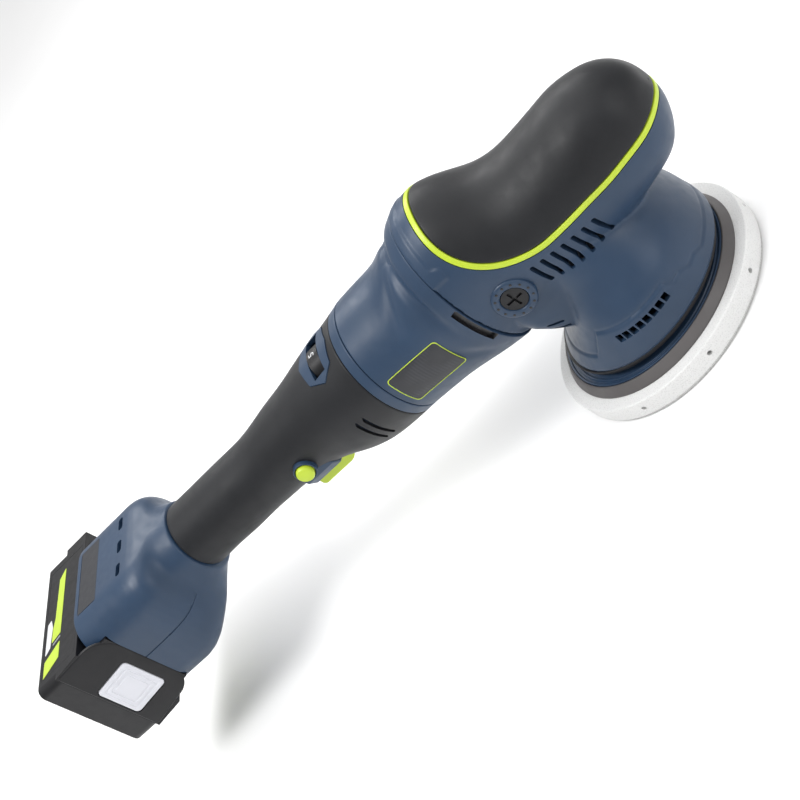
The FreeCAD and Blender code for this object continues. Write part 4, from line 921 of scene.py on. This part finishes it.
def foot_ring(x, half, low, high, low_r, high_r, steps=14):
    """Rounded rectangle square to X with a fine groove at the parting line."""
    points = []

    def arc(cy, cz, r, first):
        for a in np.radians(first + 90.0 * np.arange(steps + 1) / steps):
            points.append((x, cy + r * math.cos(a), cz + r * math.sin(a)))

    def side(y, start, stop, sign):
        marks = [(start + (stop - start) * w, 0.0) for w in (0.25, 0.5, 0.75)]
        if min(start, stop) < SEAM - 1.0 and max(start, stop) > SEAM + 1.0:
            marks += [(SEAM - 0.5, 0.0), (SEAM - 0.3, 0.55), (SEAM + 0.3, 0.55), (SEAM + 0.5, 0.0)]
        else:
            marks += [(start + (stop - start) * w, 0.0) for w in (0.1, 0.4, 0.6, 0.9)]
        marks.sort(key=lambda item: item[0], reverse=start > stop)
        points.extend((x, y - sign * depth, z) for z, depth in marks)

    arc(half - low_r, low + low_r, low_r, -90.0)
    side(half, low + low_r, high - high_r, 1.0)
    arc(half - high_r, high - high_r, high_r, 0.0)
    points.extend((x, w * (half - high_r), high) for w in np.linspace(0.9, -0.9, 7))
    arc(-half + high_r, high - high_r, high_r, 90.0)
    side(-half, high - high_r, low + low_r, -1.0)
    arc(-half + low_r, low + low_r, low_r, 180.0)
    points.extend((x, w * (half - low_r), low) for w in np.linspace(-0.9, 0.9, 7))
    return points


def foot_block():
    table = np.array(FOOT)[::-1]
    xs = np.concatenate([FOOT_REAR + np.array([0.0, 0.1, 0.3, 0.6, 1.0, 1.5, 2.1]),
                         np.linspace(-403.0, -372.0, 14), np.linspace(-370.0, -317.0, 70),
                         FOOT_FRONT - np.array([0.4, 0.1, 0.0])])
    cols = [np.interp(xs, table[:, 0], table[:, k]) for k in range(1, 6)]
    kernel = np.array([1, 4, 6, 4, 1]) / 16.0
    for col in cols:
        for _ in range(3):
            col[9:-3] = np.convolve(col, kernel, mode="same")[9:-3]
    rings = []
    for i, x in enumerate(xs):
        sink = float(rounding(np.array(x - FOOT_REAR), 1.6) + rounding(np.array(FOOT_FRONT - x), 1.0))
        half, low, high, low_r, high_r = (float(col[i]) for col in cols)
        rings.append(foot_ring(x, half - sink, AXIS + low + sink, AXIS + high - sink,
                               low_r - sink, high_r - sink))
    return loose("foot_cover", capped_grid(np.array(rings)), "blue")


def foot_cover():
    """Foot with the battery's channel and its rails, the inner pocket and the wire's passage."""
    foot = foot_block()
    low, high, rail = PACK_LOW + RAIL - 0.4, PACK_TOP - RAIL + 0.4, 3.0
    mouth, lip, front, rear = -400.0, -396.0, -387.2, -450.0
    channel = [(rear, low), (mouth, low), (mouth, low + rail), (lip, low + rail), (lip, low),
               (front, low), (front, high), (lip, high), (lip, high - rail), (mouth, high - rail),
               (mouth, high), (rear, high)]
    cutters = [prism_cutter(channel, -90.0, 43.0, "Y"),
               prism_cutter(fillet(rectangle(-40.0, 64.0, 40.0, 136.0), 20.0, 6), -388.0, -356.0, "X"),
               rod_cutter("X", 18.3, -360.0, -300.0, (0.0, AXIS)),
               box_cutter((-388.5, 14.0, AXIS - 33.0), (-380.0, 34.0, AXIS + 7.0)),
               prism_cutter(fillet(rectangle(-401.0, -27.0, -380.5, 27.0), 1.5), 141.3, 150.0)]
    for y in (-20.0, 0.0, 20.0):
        cutters.append(prism_cutter(fillet(rectangle(-357.5, y - 5.0, -353.0, y + 5.0), 1.6), 138.0, 150.0))
    carve(foot, cutters)
    settle(foot, "blue", "housing", ["handle_shell_lower"], 32.0)


# ---------------------------------------------------------------- pad
def pad():
    hole = 1.6                          # radius of the holes round the disc
    profile = fillet(rectangle(14.0, 1.6, 75.0, 14.4), [0.6, 1.3, 1.1, 0.6], 5)
    disc = loose("pad_disc", lathe(profile, 360), "foam")
    cutters = []
    for i in range(9):
        spin = Matrix.Rotation(math.radians(10.0 + 40.0 * i), 4, "Z")
        ring = [(hole * math.cos(a), 8.3 + hole * math.sin(a)) for a in around(24)]
        cutters.append(prism_cutter(ring, 65.0, 80.0, "X", spin))
    carve(disc, cutters)
    settle(disc, "foam", "pad", ["pad_foam"], 40.0)
    face = [(7.0, 0.25), (7.6, 0.0), (73.6, 0.0), (74.0, 0.3), (74.0, 1.6), (7.0, 1.6)]
    verts, faces = lathe(face, 256)
    sheet = piece("hook_face", verts, faces, "hook", "pad", "hook_fabric", ["hook_sheet"])

    rim = fillet([(40.0, 14.4), (67.0, 14.4), (67.0, 15.6), (63.5, 20.7), (62.4, 20.7), (62.4, 17.4),
                  (40.0, 17.4)], [0, 0.4, 0.8, 0.5, 0.2, 0, 0], 4)
    verts, faces = lathe(rim, 256)
    piece("plate_edge", verts, faces, "rim", "pad", "plate_grey", ["plate_rim"])
    hub = fillet([(9.0, 1.6), (13.6, 1.6), (13.6, 14.4), (39.6, 14.4), (39.6, 17.4), (62.0, 17.4),
                  (62.0, 21.2), (60.8, 21.2), (60.4, 20.3), (59.2, 20.3), (58.8, 21.2), (57.6, 21.2),
                  (57.2, 20.3), (46.0, 24.2), (17.0, 24.2), (15.0, 33.0), (9.0, 33.0)],
                 [0, 0, 0, 0, 0, 0, .3, .3, .2, .2, .3, .3, .3, 4, 2, .5, 0], 4)
    verts, faces = lathe(hub, 256)
    piece("plate_dish", verts, faces, "blue", "pad", "blue_plastic", ["plate_hub"])


# ---------------------------------------------------------------- controls
def controls():
    side = [(-227.0, -35.0), (-199.0, -35.0), (-190.0, -29.0), (-185.5, -26.0),
            (-185.5, -22.0), (-190.0, -21.0), (-227.0, -24.0)]
    outline = fillet([(x, AXIS + z) for x, z in side], [3.0, 9.0, 6.0, 1.2, 1.2, 2.0, 1.5], 6)
    slab("trigger_paddle", outline, -8.0, 8.0, "lime", "trigger", "Y", 1.4, ["trigger"])
    at = (LOCK[0], 0.0, LOCK[1])
    button = [(0.0, -33.0), (3.6, -33.0), (5.0, -32.7), (5.65, -32.0), (5.8, -31.2), (5.8, -24.0),
              (0.0, -24.0)]
    verts, faces = lathe(button, 64, "Y", at)
    piece("lock_cap", verts, faces, "lime", "lock_button", "lime_plastic", ["lock_button"])
    collar = [(6.2, -22.2), (6.2, -29.6), (6.6, -30.3), (7.4, -30.3), (7.4, -22.2)]
    verts, faces = lathe(fillet(collar, [0, 0.2, 0.2, 0.3, 0]), 64, "Y", at)
    piece("lock_ring", verts, faces, "blue", "housing", "blue_plastic", ["lock_collar"])
    soften(nodes["speed_bezel"], 0.7)
    outer = fillet(rectangle(-231.0, -11.0, -182.0, 11.0), 4.0, 6)
    surround = slab("trigger_surround", outer, 84.2, 91.0, "blue", None, "Z", 0.0)
    carve(surround, [prism_cutter(fillet(rectangle(-228.6, -8.4, -184.6, 8.4), 2.0, 4), 70.0, 100.0)])
    settle(surround, "blue", "housing", ["trigger_frame"])
    web = [(-24.6, 99.0), (-23.6, 93.0), (-18.0, 86.0), (-11.0, 84.4), (-11.0, 96.0), (-18.0, 99.0)]
    slab("trigger_web", fillet(web, 1.2), -221.0, -197.0, "blue", "housing", "X", 1.0)


def end_line(x):
    """Y of the battery's leaning end."""
    return END_Y + END_RISE * (x - PACK_REAR) / END_RUN


def button_place():
    """Frame of the release button: X along the leaning end, Y into the battery."""
    run = math.atan2(END_RISE, END_RUN)
    back = 3.5                          # the button sits this far behind the end's middle
    middle = Vector(((PACK_REAR + PACK_FRONT) / 2, END_Y + END_RISE / 2, AXIS - 18.5))
    middle -= Vector((math.cos(run), math.sin(run), 0.0)) * back
    return Matrix.Translation(middle) @ Matrix.Rotation(run, 4, "Z")


def release_cap():
    """Release button with two raised concentric squares."""
    place = button_place()
    half_x, half_z, corner = 15.6, 16.5, 3.2

    def square(scale, depth):
        outline = fillet(rectangle(-half_x * scale, -half_z * scale, half_x * scale, half_z * scale),
                         corner * scale, 6)
        return [tuple(place @ Vector((u, depth, v))) for u, v in outline]

    steps = [(1.0, 3.2), (1.0, 0.2), (0.985, -0.35), (0.95, -0.6), (0.80, -0.6), (0.775, -0.25),
             (0.74, -0.2), (0.71, -0.2), (0.69, -0.6), (0.60, -0.65), (0.58, -0.3), (0.50, -0.3),
             (0.48, -0.65), (0.30, -0.68)]
    verts, faces = capped_grid(np.array([square(*step) for step in steps]))
    piece("release_cap", verts, faces, "white", "release_button", "button_white", ["release_button"], 30.0)


def dial_digit():
    """Generic digit on the rim of the speed wheel."""
    data = bpy.data.curves.new("dial_digit", "FONT")
    data.body = "5"
    data.size = 6.5 * MM
    data.extrude = 0.12 * MM
    data.align_x = "CENTER"
    data.align_y = "CENTER"
    text = bpy.data.objects.new("dial_digit", data)
    bpy.context.scene.collection.objects.link(text)
    bpy.context.view_layer.update()
    mesh = bpy.data.meshes.new_from_object(text.evaluated_get(bpy.context.evaluated_depsgraph_get()))
    bpy.data.objects.remove(text)
    obj = bpy.data.objects.new("dial_digit", mesh)
    bpy.context.scene.collection.objects.link(obj)
    centre = Vector((DIAL_X, -DIAL_REACH * math.sin(LEAN), AXIS + DIAL_REACH * math.cos(LEAN))) * MM
    turn = Matrix.Rotation(LEAN, 4, "X") @ Matrix.Rotation(math.radians(90), 4, "Z")
    obj.data.transform(Matrix.Translation(centre) @ turn @ Matrix.Translation((0, 0, 13.0 * MM)))
    settle(obj, "digit", "speed_wheel")


# ---------------------------------------------------------------- small details on the head
def plug_rings():
    """Ring with raised dots round each side-handle plug."""
    steps = [(8.2, -3.0), (8.2, 0.1), (8.6, 0.9), (9.1, 1.1), (12.2, 0.9), (13.0, 0.5), (13.4, -0.4),
             (13.4, -3.0)]
    dot_steps = [(0.0, 0.5), (0.8, 0.5), (0.85, 1.1), (0.7, 1.2), (0.0, 1.2)]
    for side, name in ((-1, "right"), (1, "left")):
        ring, dot = ([(radius, (42.0 + out) * side) for radius, out in rows] for rows in (steps, dot_steps))
        verts, faces = lathe(ring, 96, "Y", (PLUG[0], 0.0, PLUG[1]))
        piece("plug_ring_" + name, verts, faces, "blue", "housing", "blue_plastic", (), 50.0)
        verts, faces = [], []
        for a in around(13):
            v, f = lathe(dot, 16, "Y", (PLUG[0] + 10.9 * math.cos(a), 0.0, PLUG[1] + 10.9 * math.sin(a)))
            faces += [tuple(k + len(verts) for k in face) for face in f]
            verts += v
        piece("plug_dots_" + name, verts, faces, "dark", "housing", "black_plastic")


def label_border():
    """Thin bright frame round the label on the motor housing."""
    x0, x1, z0, z1 = -117.0, -75.0, 93.2, 118.8
    corner = 2.5
    outline = fillet(rectangle(x0, z0, x1, z1), corner, 6)
    dense = []
    for (x, z), (next_x, next_z) in zip(outline, outline[1:] + outline[:1]):
        n = max(1, int(math.hypot(next_x - x, next_z - z)))
        dense += [(x + (next_x - x) * k / n, z + (next_z - z) * k / n) for k in range(n)]
    middle_x, middle_z = (x0 + x1) / 2, (z0 + z1) / 2
    half_x, half_z = x1 - middle_x, z1 - middle_z
    rows = []
    for grow, out in ((0.0, 0.05), (0.1, 0.28), (0.42, 0.28), (0.52, 0.05)):
        ring = []
        for x, z in dense:
            dx, dz = x - middle_x, z - middle_z
            on_end = abs(dx) / half_x > abs(dz) / half_z
            x2 = x - (math.copysign(grow, dx) if on_end or abs(dx) > half_x - corner else 0.0)
            z2 = z - (0.0 if on_end and abs(dz) < half_z - corner else math.copysign(grow, dz))
            t = float(MOTOR.when(x2))
            a = math.pi - float(MOTOR.angle_at(np.array(t), z2))
            ring.append(MOTOR.offset(np.array(t), np.array(a), np.array(out)))
        rows.append(ring)
    rows = np.array(rows)
    n = rows.shape[1]
    faces = [(i * n + j, i * n + (j + 1) % n, (i + 1) * n + (j + 1) % n, (i + 1) * n + j)
             for i in range(3) for j in range(n)]
    piece("label_border", list(rows.reshape(-1, 3)), faces, "lime", "housing", "lime_plastic", (), 50.0)


# ---------------------------------------------------------------- battery
# Colour fields of the battery's film, as outlines in X and Y.
FILM_FIELDS = {
    "pack_sticker_low": ("sticker", "lime_plastic", [(-447, -46), (-430, -38), (-430, -24), (-447, -32)]),
    "pack_sticker_high": ("sticker", "lime_plastic",
                          [(-440, -20), (-430, -17), (-430, 40), (-437, 34), (-438, 0), (-440, -8)]),
    "pack_patch": ("digit", "button_white",
                   [(-447, -27), (-441.5, -23), (-440.5, -6), (-443, 2), (-447, 0)]),
    "pack_stripe": ("silver", "button_white", [(-438.5, -23.4), (-430, -20.6), (-430, -19), (-438.5, -21.8)]),
}


def pack_end():
    """Smooth cheek over the battery's leaning end, open round the release button."""
    outline = fillet([(-430.6, 57.0), (-387.6, 60.5), (-387.6, 133.5), (-430.6, 136.0)],
                     [3.0, 15.0, 19.0, 3.0], 10)
    outer, inner = ([(x, end_line(x) + depth, z) for x, z in outline] for depth in (-0.45, 2.0))
    end = loose("pack_end", joined(outer, inner), "black")
    soften(end, 2.4, 5)
    freeze(end)
    hole = fillet(rectangle(-16.1, -17.0, 16.1, 17.0), 3.4, 6)
    carve(end, [prism_cutter(hole, -9.0, 9.0, "Y", button_place())])
    settle(end, "black", "battery", (), 40.0)


def battery():
    for name, width in (("battery_tray", 1.6), ("battery_case", 1.4), ("battery_labels", 0.12)):
        soften(nodes[name], width, 3)
    nodes["battery_labels"].data.materials.clear()
    nodes["battery_labels"].data.materials.append(M["black"])
    pack_end()
    for side, low, high in (("top", PACK_TOP - 0.3, PACK_TOP + 0.12),
                            ("bottom", PACK_LOW - 0.1, PACK_LOW + 0.32)):
        for name, (look, slot_name, points) in FILM_FIELDS.items():
            slab(name + "_" + side, fillet(points, 0.5, 3), low, high, look, "battery", "Z", 0.0)


def floor():
    mesh = bpy.data.meshes.new("floor")
    work = bmesh.new()
    bmesh.ops.create_grid(work, x_segments=40, y_segments=40, size=6.0)
    work.to_mesh(mesh)
    work.free()
    obj = bpy.data.objects.new("floor", mesh)
    bpy.context.scene.collection.objects.link(obj)
    obj.location.z = -0.0002
    g = Graph("studio_floor")
    colour = g.ramp(g.noise(3.0, 3.0), [(0.3, (0.90, 0.90, 0.90)), (0.7, (0.94, 0.94, 0.94))])
    mesh.materials.append(g.finish(colour, g.grey(g.noise(8.0), 0.6, 0.7), g.bump(g.noise(400.0), 0.00001)))


camera()
studio()
dress_nodes()
head_body()
top_grip()
trim_band()
motor_cover()
handle_sleeve()
foot_cover()
pad()
controls()
release_cap()
dial_digit()
plug_rings()
label_border()
battery()
floor()
